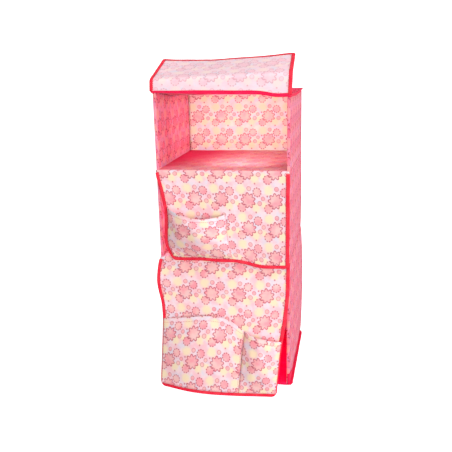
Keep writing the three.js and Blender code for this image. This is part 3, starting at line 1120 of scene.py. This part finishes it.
def make_roof_lining():
    """The roof's lining, turned up over the front edge of its board."""
    low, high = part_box("roof_lining")
    lip = ROOF - low.z
    width = high.x - low.x
    length = high.y - FRONT + lip

    def place(x, y):
        inward, back = turned_edge(length - y, lip)
        px = high.x - x
        wave = 0.3 * MM * ripples((x, y, 0), 50 * MM, 11) * (back > 0)
        return Vector((px, FRONT + back, low.z + 0.5 * MM + inward + wave + roof_lift(px, FRONT + back)))

    piece = lay_cloth(
        "cloth_roof_lining", (width, length), place, 60, 60, MATERIALS["print_side"],
        MATERIALS["reverse"], down=edge_last,
    )
    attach(piece, "box")
    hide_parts("roof_lining")


def make_roof_board():
    """The roof's board, bowed up with its cloths at the front."""
    low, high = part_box("roof_board")

    def place(x, y):
        px = low.x + x
        py = high.y - y
        return Vector((px, py, (low.z + high.z) / 2 + roof_lift(px, py)))

    board = lay_cloth(
        "bowed_roof_board", (high.x - low.x, high.y - low.y), place, 60, 60, MATERIALS["board"],
        thickness=high.z - low.z,
    )
    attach(board, "box")
    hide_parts("roof_board")


# ---------------------------------------------------------------- top flap


TOP_LEFT_EDGE = ((0, -154.2), (41, -152.5), (154, -153.5))
TOP_RIGHT_EDGE = ((0, 152.6), (50, 155), (154, 149.6))


def top_flap_place(x, y):
    """The top flap: x across from its left edge, y up its cut length from the hinge."""
    hinge = JOINTS["flap_top_hinge"]
    fold = JOINTS["flap_top_fold"]
    axis = -JOINT_AXES["flap_top_fold"]
    up = Vector((-axis.z, 0, axis.x))
    back = Vector((0, 1, 0))
    share = x / TOP_WIDTH
    radius = 9 * MM
    px = mix(through(y, TOP_LEFT_EDGE, 8), through(y, TOP_RIGHT_EDGE, 8), share)
    flat_point = Vector((px, hinge.y, hinge.z + y))
    along = (flat_point - fold).dot(axis)
    rise = (flat_point - fold).dot(up)
    bend = radius * math.tan(TOP_LEAN / 2)
    height = rise
    depth = 0.0
    if rise > -bend:
        angle = min((rise + bend) / radius, TOP_LEAN)
        rest = max(rise + bend - radius * TOP_LEAN, 0.0)
        height = -bend + radius * math.sin(angle) + rest * math.cos(TOP_LEAN)
        depth = radius * (1 - math.cos(angle)) + rest * math.sin(TOP_LEAN)
    out_share = y / TOP_LENGTH
    sag = -6 * MM * max(math.sin(math.pi * min(max(share, 0.0), 1.0) ** 0.7), 0.0) * out_share ** 2
    wave = 1.1 * MM * ripples((x, y, 0), 55 * MM, 61) * out_share
    point = fold + axis * along + up * (height + sag + wave) + back * depth
    swing = -1.2 * MM * math.sin(math.pi * min(y / (45 * MM), 1.0)) * (0.4 + 0.6 * math.sin(7 * share))
    return point + Vector((0, swing, 0))


def make_top_flap():
    """The top flap, thrown up and leaning back, with its pale reverse to the front."""
    width = TOP_WIDTH
    start = 2 * MM
    length = TOP_LENGTH - start

    def foot(x):
        """How far up the cut flap the crimson band hides it."""
        px = mix(TOP_LEFT_EDGE[0][1], TOP_RIGHT_EDGE[0][1], x / width) * MM
        return roof_band_foot(px) + 2.5 * MM - JOINTS["flap_top_hinge"].z

    def from_free_edge(x, y):
        """The same sheet measured down from the flap's free edge to its foot."""
        return top_flap_place(x, TOP_LENGTH - y / length * (TOP_LENGTH - foot(x)))

    cloth = lay_cloth(
        "cloth_flap_top", (width, length), from_free_edge, 72, 56, MATERIALS["reverse"],
        MATERIALS["print_front"], shift=(0.02, 0.05),
    )
    path = three_edges(width, foot(width), TOP_LENGTH, 5 * MM, foot(0))

    def upwards(x, y):
        """Seen from the flap's printed side, so that the tape's path turns the same way."""
        return top_flap_place(width - x, y)

    tape = folded_tape("cloth_flap_top_tape", upwards, path, MATERIALS["tape"], seed=2)
    rows = [row_on(upwards, path, SEAM_INSET, lift * 1.7 * MM) for lift in (1, -1)]
    seam = stitches("flap_top_stitches", rows, MATERIALS["thread"])
    for piece in (cloth, tape, seam):
        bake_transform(piece)
    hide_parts("flap_top_strip", "flap_top_leaf")
    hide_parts("flap_top_strip_tape_left", "flap_top_strip_tape_right", "flap_top_leaf_tape")


def make_top_hinge_tape():
    """The crimson tape that sews the top flap to the roof's front edge."""
    hinge = JOINTS["flap_top_hinge"]
    width = TOP_WIDTH - 4 * MM
    length = 7.5 * MM

    def place(x, y):
        point = top_flap_place(x + 2 * MM, length - y)
        px = point.x
        foot = roof_band_foot(px) - 0.5 * MM
        height = mix(4.5, 8.0, ease((px + HALF_W) / (120 * MM))) * MM
        pucker = 0.25 * MM * ripples((px, y * 2, 0), 12 * MM, 73)
        z = foot + height * (1 - y / length)
        depth = hinge.y - 1.5 * MM + pucker + (1 - y / length) * 0.3 * MM
        return Vector((px, depth + min(point.y - hinge.y, 0.0), z))

    tape = lay_tape("cloth_flap_top_hinge_tape", (width, length), place, 110, 32)
    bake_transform(tape)


# ---------------------------------------------------------------- middle flap


MIDDLE_SHELF_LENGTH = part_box("shelf_upper_top_cloth")[1].y - FRONT
EDGE_RADIUS = 3.0 * MM


def over_shelf_edge(distance, top):
    """Where cloth lies that runs forward along a shelf and turns down over its front edge.

    distance is from the edge, negative on the shelf. Returns (y, z).
    """
    arc = math.pi * EDGE_RADIUS / 2
    if distance < -arc / 2:
        return FRONT + EDGE_RADIUS - (distance + arc / 2) - 0.8 * MM, top
    if distance < arc / 2:
        angle = (distance + arc / 2) / EDGE_RADIUS
        return (FRONT + EDGE_RADIUS - EDGE_RADIUS * math.sin(angle) - 0.8 * MM,
                top - EDGE_RADIUS + EDGE_RADIUS * math.cos(angle))
    return FRONT - 0.8 * MM, top - EDGE_RADIUS - (distance - arc / 2)


def on_shelf(x, y, share, top, edges, seed):
    """A point of a flap's sheet that lies on the shelf behind it: y is negative there."""
    sheet_y, sheet_z = over_shelf_edge(y, top)
    spread = ease(1 + y / (4 * MM))
    left = mix(-SHELF_W, edges[0][0][1] * MM, spread)
    right = mix(SHELF_W, edges[1][0][1] * MM, spread)
    wave = 0.7 * MM * (1 + ripples((x, y, 0), 38 * MM, seed)) * ease(-y / (30 * MM))
    return Vector((mix(left, right, share), sheet_y, sheet_z + wave))


def crowded_edge(edge, before, after, first, last):
    """Spreads grid lines so that shares first to last lie close together round a shelf's edge."""
    def spread(share):
        if share < first:
            return share / first * (edge - before)
        if share < last:
            return edge - before + (share - first) / (last - first) * (before + after)
        return edge + after + (share - last) / (1 - last) * (1 - edge - after)

    return spread


def sew_flap(tier, place, path, seed):
    """The folded tape round a hanging flap's free edges, and the stitches through it."""
    tape = folded_tape(f"cloth_flap_{tier}_tape", place, path, MATERIALS["tape"], seed=seed)
    row = row_on(place, path, SEAM_INSET, SEAM_LIFT)
    return tape, stitches(f"flap_{tier}_stitches", [row], MATERIALS["thread"])


def middle_drop(share):
    """How far the middle flap hangs below the shelf's top, across its width."""
    hem = mix(MIDDLE_HEM_LEFT, MIDDLE_HEM_RIGHT, ease((share - 0.52) / 0.28))
    return UPPER - hem - 2 * MM * math.exp(-((share - 0.25) / 0.12) ** 2)


# Across the flap's edges, at each drop below the shelf: drawn in by a loaded pocket.
MIDDLE_LEFT_EDGE = (
    (0, -151), (8, -151), (47, -141), (91, -133.2), (118, -132.8), (142, -134), (170, -134.5),
    (192, -126), (206, -117),
)
MIDDLE_RIGHT_EDGE = ((0, 148.8), (120, 149.2), (215, 148.4))


MIDDLE_WIDTH = 296 * MM
MIDDLE_LENGTH = 204 * MM
MIDDLE_SHIFT = (13 * MM, 8 * MM)


def middle_cloth_place(x, y):
    """One sheet: the upper shelf's top cloth, which runs on over the edge as the middle flap.

    y is measured down from the shelf's edge, and is negative on the shelf.
    """
    share = x / MIDDLE_WIDTH
    top = UPPER - HALF_CLOTH
    if y < 0:
        return on_shelf(x, y, share, top, (MIDDLE_LEFT_EDGE, MIDDLE_RIGHT_EDGE), 81)
    drop = y / MIDDLE_LENGTH * middle_drop(share)
    sheet_y, sheet_z = over_shelf_edge(y, top)
    down = ease((y - 6 * MM) / (10 * MM))
    sheet_z = mix(sheet_z, UPPER - drop, down)
    px = mix(through(drop, MIDDLE_LEFT_EDGE, 9), through(drop, MIDDLE_RIGHT_EDGE, 9), share)
    lean = 5 * MM * ease(drop / (200 * MM)) + 1.5 * MM * ease(drop / (20 * MM))
    from_pocket = ((share - 0.27) / 0.22) ** 2 + ((drop - 150 * MM) / (55 * MM)) ** 2
    pocket_pull = 7 * MM * math.exp(-from_pocket)
    wave = 1.6 * MM * (ripples((x, y, 0), 60 * MM, 83) + 0.4) * ease(drop / (60 * MM))
    folds = math.sin((share * 5 + drop / (90 * MM)) * math.pi)
    slack = 1.8 * MM * folds * ease((drop - 70 * MM) / (90 * MM)) * share
    return Vector((px, sheet_y - lean - pocket_pull - max(wave + slack, -2 * MM), sheet_z))


def pocket_place(flap_place, left, right, mouth, bottom, bulge, hem, sag):
    """A patch pocket on a flap. Returns its flat size and its place function.

    left and right are its seams across the cut flap, mouth(share) and bottom its top and foot
    down the flap, bulge(share, depth) how far it stands out. Its first hem millimetres are
    turned in behind the mouth.
    """
    def seam(side, depth):
        edge = left if side == 0 else right
        return edge(depth) if callable(edge) else edge

    length = bottom - min(mouth(0.0), mouth(1.0)) + hem

    def place(x, y):
        share = x / width
        turned = hem - y
        depth = max(y - hem, 0.0) / (length - hem)
        if turned > 0:
            depth = turned / (length - hem)
        px = mix(seam(0, depth), seam(1, depth), share)
        py = mix(mouth(share), bottom, depth)
        across, down, normal = surface_frame(flap_place, px, py, 1.5 * MM)
        out = 2.3 * MM + bulge(share, depth)
        drop = sag * math.sin(math.pi * share) * (1 - depth) ** 2
        inside = 1.3 * MM * ease(turned / (1.5 * MM)) if turned > 0 else 0.0
        return flap_place(px, py) + normal * (out - inside) + Vector((0, 0, -drop))

    width = abs(seam(1, 0.5) - seam(0, 0.5))
    return (width, length), place


def stuffed(height, lean, droop, seed):
    """A pocket's swelling: rounded between its seams, fullest a little below its mouth."""
    def bulge(share, depth):
        skewed = min(max(share, 0.0), 1.0) ** lean
        width = abs(math.sin(math.pi * skewed)) ** 0.75
        fall = abs(math.sin(math.pi * mix(droop, 1.0, min(depth, 1.0)))) ** 1.2
        crease = 1 + 0.13 * ripples((share * 0.12, depth * 0.1, 0), 22 * MM, seed)
        return height * width * fall * crease

    return bulge


HEM_ROW = 19 * MM
POCKET_SEAM_INSET = 2.5 * MM
POCKET_SEAM_LIFT = 0.7 * MM


def make_pocket(name, body, node, shape, shift):
    """A pocket's cloth, with stitches along its three seams and its hem."""
    flat, place = shape
    width, length = flat
    cloth = lay_cloth(
        name, flat, place, 56, 60, MATERIALS["print_front"], MATERIALS["reverse"],
        down=lambda share: share * 0.5 if share < 0.15 else 0.075 + (share - 0.15) / 0.85 * 0.925,
        shift=shift,
    )
    hem = straight_path((2 * MM, HEM_ROW), (width - 2 * MM, HEM_ROW))
    hem_row = row_on(place, hem, 0, POCKET_SEAM_LIFT)
    path = three_edges(width, 10 * MM, length, 2 * MM)
    edge_row = row_on(place, path, POCKET_SEAM_INSET, POCKET_SEAM_LIFT)
    seam = stitches(f"{name}_stitches", [hem_row, edge_row], MATERIALS["pink_thread"])
    for piece in (cloth, seam):
        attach(piece, body)
    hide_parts(node)


def make_middle_flap():
    """The upper shelf's cloth and the middle flap in one sheet, with its tape and pocket."""
    total = MIDDLE_SHELF_LENGTH + MIDDLE_LENGTH
    flat = (MIDDLE_WIDTH, total)

    def whole(x, y):
        return middle_cloth_place(x, y - MIDDLE_SHELF_LENGTH)

    spread = crowded_edge(MIDDLE_SHELF_LENGTH / total, before=0.02, after=0.03, first=0.35, last=0.5)
    cloth = lay_cloth(
        "cloth_flap_middle", flat, whole, 72, 120, MATERIALS["print_middle"], MATERIALS["reverse"],
        down=spread, shift=MIDDLE_SHIFT, corner=8 * MM,
    )
    path = three_edges(MIDDLE_WIDTH, 5 * MM, MIDDLE_LENGTH, 8 * MM)
    tape, seam = sew_flap("middle", middle_cloth_place, path, 3)
    for piece in (cloth, tape, seam):
        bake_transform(piece)
    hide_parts("flap_middle_panel", "shelf_upper_top_cloth")
    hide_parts("flap_middle_tape")
    shape = pocket_place(
        middle_cloth_place,
        left=8 * MM, right=lambda depth: mix(147 * MM, 160 * MM, depth),
        mouth=lambda share: mix(84 * MM, 96 * MM, ease(share * 1.6)),
        bottom=194.5 * MM,
        bulge=stuffed(42 * MM, 1.1, 0.36, 91),
        hem=POCKET_HEM, sag=9 * MM,
    )
    make_pocket("cloth_pocket_middle", "flap_middle", "flap_middle_pocket", shape, (0.041, 0.017))


# ---------------------------------------------------------------- bottom flap


BOTTOM_WIDTH = 296 * MM
BOTTOM_LENGTH = 308 * MM
BOTTOM_SHELF_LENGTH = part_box("shelf_lower_top_cloth")[1].y - FRONT
BOTTOM_DIVIDE = 204 * MM
POCKET_HEM = 9 * MM


BOTTOM_LEFT_EDGE = (
    (0, -150), (10, -153), (27, -157), (51, -159), (66, -158.5), (86, -154), (109, -147.5),
    (139, -144.5), (191, -145.5), (306, -149.5),
)
BOTTOM_RIGHT_EDGE = (
    (0, 149.5), (81, 149.5), (140, 144), (187, 136.5), (212, 133), (249, 130.5), (286, 127), (306, 126.5),
)
# How far forward the hem is, at each place across the flap.
BOTTOM_LEAN = ((0, 46), (50, 62), (98, 71), (133, 72.5), (172, 71.5), (225, 68), (296, 60))


def bottom_cloth_place(x, y):
    """One sheet: the lower shelf's top cloth, which runs on over the edge as the bottom flap."""
    share = x / BOTTOM_WIDTH
    top = LOWER - HALF_CLOTH
    if y < 0:
        return on_shelf(x, y, share, top, (BOTTOM_LEFT_EDGE, BOTTOM_RIGHT_EDGE), 101)
    sheet_y, sheet_z = over_shelf_edge(y, top)
    drop = (LOWER - BOTTOM_HEM) * y / BOTTOM_LENGTH
    down = ease((y - 6 * MM) / (10 * MM))
    sheet_z = mix(sheet_z, LOWER - drop, down)
    px = mix(through(drop, BOTTOM_LEFT_EDGE, 9), through(drop, BOTTOM_RIGHT_EDGE, 12), share)
    pivot_drop = LOWER - JOINTS["flap_bottom_hinge"].z
    hang = max(drop - pivot_drop, 0.0) / (LOWER - BOTTOM_HEM - pivot_drop)
    lean = through(x, BOTTOM_LEAN, 25) * hang ** 1.05
    wave = 1.5 * MM * (ripples((x, y, 0), 65 * MM, 103) + 0.3) * ease(drop / (60 * MM))
    return Vector((px, sheet_y - 0.8 * MM * ease(drop / (12 * MM)) - lean - max(wave, -1.5 * MM), sheet_z))


BOTTOM_MOUTH = ((8, 146), (60, 136), (105, 128), (130, 129), (165, 136), (206, 165), (255, 173), (296, 184))


def bottom_mouth(x):
    """How far down the cut flap the two pockets' mouths are: lower towards the right."""
    return through(x, BOTTOM_MOUTH, 14)


def make_bottom_flap():
    """The lower shelf's cloth and the bottom flap in one sheet, with its tape and two pockets."""
    total = BOTTOM_SHELF_LENGTH + BOTTOM_LENGTH
    flat = (BOTTOM_WIDTH, total)

    def whole(x, y):
        return bottom_cloth_place(x, y - BOTTOM_SHELF_LENGTH)

    spread = crowded_edge(BOTTOM_SHELF_LENGTH / total, before=0.015, after=0.025, first=0.3, last=0.42)
    cloth = lay_cloth(
        "cloth_flap_bottom", flat, whole, 72, 140, MATERIALS["print_front"], MATERIALS["reverse"],
        down=spread, shift=(0.03, 0.044), corner=12 * MM,
    )
    path = three_edges(BOTTOM_WIDTH, 5 * MM, BOTTOM_LENGTH, 12 * MM)
    tape, seam = sew_flap("bottom", bottom_cloth_place, path, 5)
    for piece in (cloth, tape, seam):
        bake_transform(piece)
    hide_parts("flap_bottom_panel", "flap_bottom_hinge_strip", "shelf_lower_top_cloth")
    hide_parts("flap_bottom_tape")
    for side, left, right, height, seed, shift in (
        ("left", 1.5 * MM, BOTTOM_DIVIDE - MM, 12 * MM, 111, (0.009, 0.031)),
        ("right", BOTTOM_DIVIDE + MM, BOTTOM_WIDTH - 1.5 * MM, 30 * MM, 113, (0.05, 0.012)),
    ):
        def mouth(share, left=left, right=right):
            return bottom_mouth(mix(left, right, share))

        shape = pocket_place(
            bottom_cloth_place, left, right, mouth, BOTTOM_LENGTH - 6.5 * MM,
            stuffed(height, 1.0, 0.30, seed), hem=POCKET_HEM, sag=3 * MM,
        )
        make_pocket(f"cloth_pocket_bottom_{side}", "flap_bottom", f"flap_bottom_pocket_{side}",
                    shape, shift)


# ---------------------------------------------------------------- hanging straps


STRAP_THICKNESS = 1.6 * MM
STRAP_END = 17 * MM


def make_strap(side):
    """A webbing strap that arches over a rail, with its tab and its two grip patches."""
    node = f"strap_{side}"
    low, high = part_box(node)
    pivot = JOINTS[f"strap_{side}_closure"]
    radius = pivot.y
    arch = high.z - radius - STRAP_THICKNESS / 2
    rise = arch - low.z
    fall = arch - (ROOF + STRAP_END)
    width = high.x - low.x
    arc = math.pi * radius
    length = rise + arc + fall

    def place(x, y):
        px = low.x + x
        if y < fall:
            return Vector((px, -radius, arch - fall + y))
        if y < fall + arc:
            angle = (y - fall) / radius
            return Vector((px, -radius * math.cos(angle), arch + radius * math.sin(angle)))
        return Vector((px, radius, arch - (y - fall - arc)))

    strap = lay_cloth(
        f"webbing_{node}", (width, length), place, 12, 60, MATERIALS["webbing"],
        thickness=STRAP_THICKNESS,
    )
    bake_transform(strap)
    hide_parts(node)
    for part, material, slot, body in (
        ("loop_patch", "loop", "grip_tape", node),
        ("hook_patch", "hook", "grip_tape", "box"),
        ("tab", "webbing", "webbing", "box"),
    ):
        part_node = f"{node}_{part}"
        part_low, part_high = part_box(part_node)
        part_width = part_high.x - part_low.x
        part_height = part_high.z - part_low.z
        middle = (part_low.y + part_high.y) / 2

        def on_part(x, y, part_low=part_low, part_high=part_high, middle=middle):
            return Vector((part_low.x + x, middle, part_high.z - y))

        piece = lay_cloth(
            f"cloth_{part_node}", (part_width, part_height), on_part, 10, 10,
            MATERIALS[material], thickness=part_high.y - part_low.y, corner=2 * MM,
        )
        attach(piece, body)
        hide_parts(part_node)


# ---------------------------------------------------------------- boards and stage


def dress_boards():
    """The boards keep their CAD shape and get pressed grey board."""
    for name, node in NODES.items():
        if "board" in name:
            node.data.materials.clear()
            node.data.materials.append(MATERIALS["board"])


SWEEP_GLOW = 0.9


def stage_material(name):
    """A lit white sweep, brightest far from the object: painted shade darkens it slightly near the object.
    """
    material, shader = new_material(name, 0.9, 0.0)
    place = object_in_mm(material)
    distance = place.vector("LENGTH", output=1)
    # Painted shade: colour and glow are 3 per cent darker within about 600 mm of the object's middle.
    shade = colour_over(distance, (0.97, 0.97, 0.97), (1, 1, 1), distance.below(600, 600))
    feed(shader, "Base Color", shade)
    feed(shader, "Emission Color", shade)
    shader.inputs["Emission Strength"].default_value = SWEEP_GLOW
    return material


def make_sweep():
    """A white floor that curves up behind the object."""
    size = 14
    curve = 2.0
    wall = 2.6
    bm = bmesh.new()
    bmesh.ops.create_grid(bm, x_segments=4, y_segments=80, size=size / 2)
    for vert in bm.verts:
        past = vert.co.y - wall
        angle = min(max(past / curve, 0.0), math.pi / 2)
        rest = max(past - curve * math.pi / 2, 0.0)
        vert.co.y = min(vert.co.y, wall) + curve * math.sin(angle)
        vert.co.z = curve * (1 - math.cos(angle)) + rest - 0.5 * MM
    bm.normal_update()
    sweep = mesh_object("studio_sweep", bm, [stage_material("studio_white")])
    sweep.visible_diffuse = False


WORLD_COLOUR = (1.0, 0.95, 0.95, 1)
WORLD_STRENGTH = 0.47
WHITE = (1.0, 1.0, 1.0)
MIDDLE = (0, 0, 0.4)
# Each light's name, place, aim, size, power, colour and spread in degrees.
LIGHTS = (
    ("key_light", (-0.3, -2.8, 0.72), MIDDLE, 1.1, 10, WHITE, 180),
    ("right_light", (1.7, -2.2, 0.75), MIDDLE, 1.1, 44, WHITE, 180),
    ("side_light", (2.4, -0.5, 0.6), MIDDLE, 1.0, 15, WHITE, 180),
    ("top_light", (0.0, -0.9, 2.8), MIDDLE, 1.4, 26, WHITE, 180),
    ("upper_tier_light", (0.03, -0.13, 0.6), (0.02, 0.15, 0.59), 0.12, 0.30, WHITE, 125),
    ("middle_gap_light", (-0.08, -0.06, 0.42), (-0.15, -0.1, 0.38), 0.05, 0.2, (1.0, 0.6, 0.7), 180),
    ("floor_light", (0.09, -0.10, 0.20), (0.12, -0.02, 0), 0.06, 0.42, (1.0, 0.03, 0.34), 180),
)
CAMERA_PLACE = (0.2775, -1.5104, 0.762)
CAMERA_TURN = math.radians(11.26)
CAMERA_TIP = math.radians(15.15)
CAMERA_ROLL = math.radians(-1.37)
LENS = 50.8
SENSOR = 36


def make_lights():
    for name, place, aim, width, power, colour, spread in LIGHTS:
        data = bpy.data.lights.new(name, "AREA")
        data.size = width
        data.energy = power
        data.color = colour
        data.spread = math.radians(spread)
        light = link_object(name, data)
        light.location = place
        light.rotation_euler = (Vector(aim) - Vector(place)).to_track_quat("-Z", "Y").to_euler()
        light.visible_camera = False


def make_camera():
    data = bpy.data.cameras.new("camera")
    data.sensor_width = SENSOR
    data.lens = LENS
    camera = link_object("camera", data)
    camera.matrix_world = (
        Matrix.Translation(CAMERA_PLACE) @ Matrix.Rotation(CAMERA_TURN, 4, "Z")
        @ Matrix.Rotation(math.pi / 2 - CAMERA_TIP, 4, "X") @ Matrix.Rotation(CAMERA_ROLL, 4, "Z")
    )
    bpy.context.scene.camera = camera


def make_stage():
    """A white sweep, soft studio light and the camera."""
    make_sweep()
    world = bpy.data.worlds.new("studio_world")
    bpy.context.scene.world = world
    world.use_nodes = True
    background = world.node_tree.nodes["Background"]
    background.inputs["Color"].default_value = WORLD_COLOUR
    background.inputs["Strength"].default_value = WORLD_STRENGTH
    make_lights()
    make_camera()
    bpy.context.scene.view_settings.view_transform = "Standard"
    bpy.context.scene.view_settings.look = "None"


# ---------------------------------------------------------------- operators and panel


class ORGANISER_OT_materials(bpy.types.Operator):
    """Make the cloth, tape, board, webbing and thread materials."""

    bl_idname = "organiser.materials"
    bl_label = "Materials"

    def execute(self, context):
        make_materials()
        return {"FINISHED"}


class ORGANISER_OT_walls(bpy.types.Operator):
    """Make the walls' outer skins and linings."""

    bl_idname = "organiser.walls"
    bl_label = "Walls"

    def execute(self, context):
        make_side_skin("left", -1)
        make_side_skin("right", 1)
        make_back_skin()
        make_lining("left", MATERIALS["print_side"])
        make_lining("right", MATERIALS["print_side"])
        make_lining("back", MATERIALS["print_back"])
        dress_boards()
        return {"FINISHED"}


class ORGANISER_OT_levels(bpy.types.Operator):
    """Make the cloth of the roof, the undersides of the shelves and the base."""

    bl_idname = "organiser.levels"
    bl_label = "Roof, shelves and base"

    def execute(self, context):
        shelf = MATERIALS["print_shelf"]
        reverse = MATERIALS["reverse"]
        make_level_cloth("cloth_roof_skin", "roof_skin", MATERIALS["crimson"], True,
                         lift=roof_lift)
        make_roof_board()
        make_roof_lining()
        for name in ("upper", "lower"):
            make_level_cloth(f"cloth_shelf_{name}_under", f"shelf_{name}_under_cloth",
                             shelf, False, reverse)
        make_level_cloth("cloth_base_skin", "base_skin", MATERIALS["crimson"], False)
        make_base_lining()
        return {"FINISHED"}


class ORGANISER_OT_box_tapes(bpy.types.Operator):
    """Make the edge tapes of the box."""

    bl_idname = "organiser.box_tapes"
    bl_label = "Box tapes"

    def execute(self, context):
        make_rim_tape("cloth_roof_rim_tape", "roof_rim_tape", -1, 5 * MM)
        make_rim_tape("cloth_base_rim_tape", "base_rim_tape", 1, 8 * MM)
        make_corner_tape("left", -1)
        make_corner_tape("right", 1)
        make_roof_front_tape()
        return {"FINISHED"}


class ORGANISER_OT_top_flap(bpy.types.Operator):
    """Make the top flap and its hinge tape."""

    bl_idname = "organiser.top_flap"
    bl_label = "Top flap"

    def execute(self, context):
        make_top_flap()
        make_top_hinge_tape()
        return {"FINISHED"}


class ORGANISER_OT_middle_flap(bpy.types.Operator):
    """Make the upper shelf's cloth, the middle flap and its pocket."""

    bl_idname = "organiser.middle_flap"
    bl_label = "Middle flap"

    def execute(self, context):
        make_middle_flap()
        return {"FINISHED"}


class ORGANISER_OT_bottom_flap(bpy.types.Operator):
    """Make the lower shelf's cloth, the bottom flap and its pockets."""

    bl_idname = "organiser.bottom_flap"
    bl_label = "Bottom flap"

    def execute(self, context):
        make_bottom_flap()
        return {"FINISHED"}


class ORGANISER_OT_straps(bpy.types.Operator):
    """Make the two hanging straps."""

    bl_idname = "organiser.straps"
    bl_label = "Hanging straps"

    def execute(self, context):
        make_strap("left")
        make_strap("right")
        return {"FINISHED"}


class ORGANISER_OT_stage(bpy.types.Operator):
    """Make the floor, the lights and the camera."""

    bl_idname = "organiser.stage"
    bl_label = "Stage"

    def execute(self, context):
        make_stage()
        return {"FINISHED"}


STEPS = (
    ORGANISER_OT_stage,
    ORGANISER_OT_materials,
    ORGANISER_OT_walls,
    ORGANISER_OT_levels,
    ORGANISER_OT_box_tapes,
    ORGANISER_OT_top_flap,
    ORGANISER_OT_middle_flap,
    ORGANISER_OT_bottom_flap,
    ORGANISER_OT_straps,
)


class ORGANISER_PT_panel(bpy.types.Panel):
    """The organiser's settings and steps."""

    bl_label = "Organiser"
    bl_idname = "ORGANISER_PT_panel"
    bl_space_type = "VIEW_3D"
    bl_region_type = "UI"
    bl_category = "Organiser"

    def draw(self, context):
        layout = self.layout
        for settings in (context.scene.organiser_cloth, context.scene.organiser_colours):
            for name in settings.bl_rna.properties.keys():
                if name not in ("rna_type", "name"):
                    layout.prop(settings, name)
        for step in STEPS:
            layout.operator(step.bl_idname)


CLASSES = (OrganiserCloth, OrganiserColours, *STEPS, ORGANISER_PT_panel)


def register():
    for cls in CLASSES:
        bpy.utils.register_class(cls)
    bpy.types.Scene.organiser_cloth = PointerProperty(type=OrganiserCloth)
    bpy.types.Scene.organiser_colours = PointerProperty(type=OrganiserColours)


def unregister():
    del bpy.types.Scene.organiser_colours
    del bpy.types.Scene.organiser_cloth
    for cls in reversed(CLASSES):
        bpy.utils.unregister_class(cls)


def main():
    register()
    for step in STEPS:
        group, name = step.bl_idname.split(".")
        getattr(getattr(bpy.ops, group), name)()


if __name__ == "__main__":
    main()
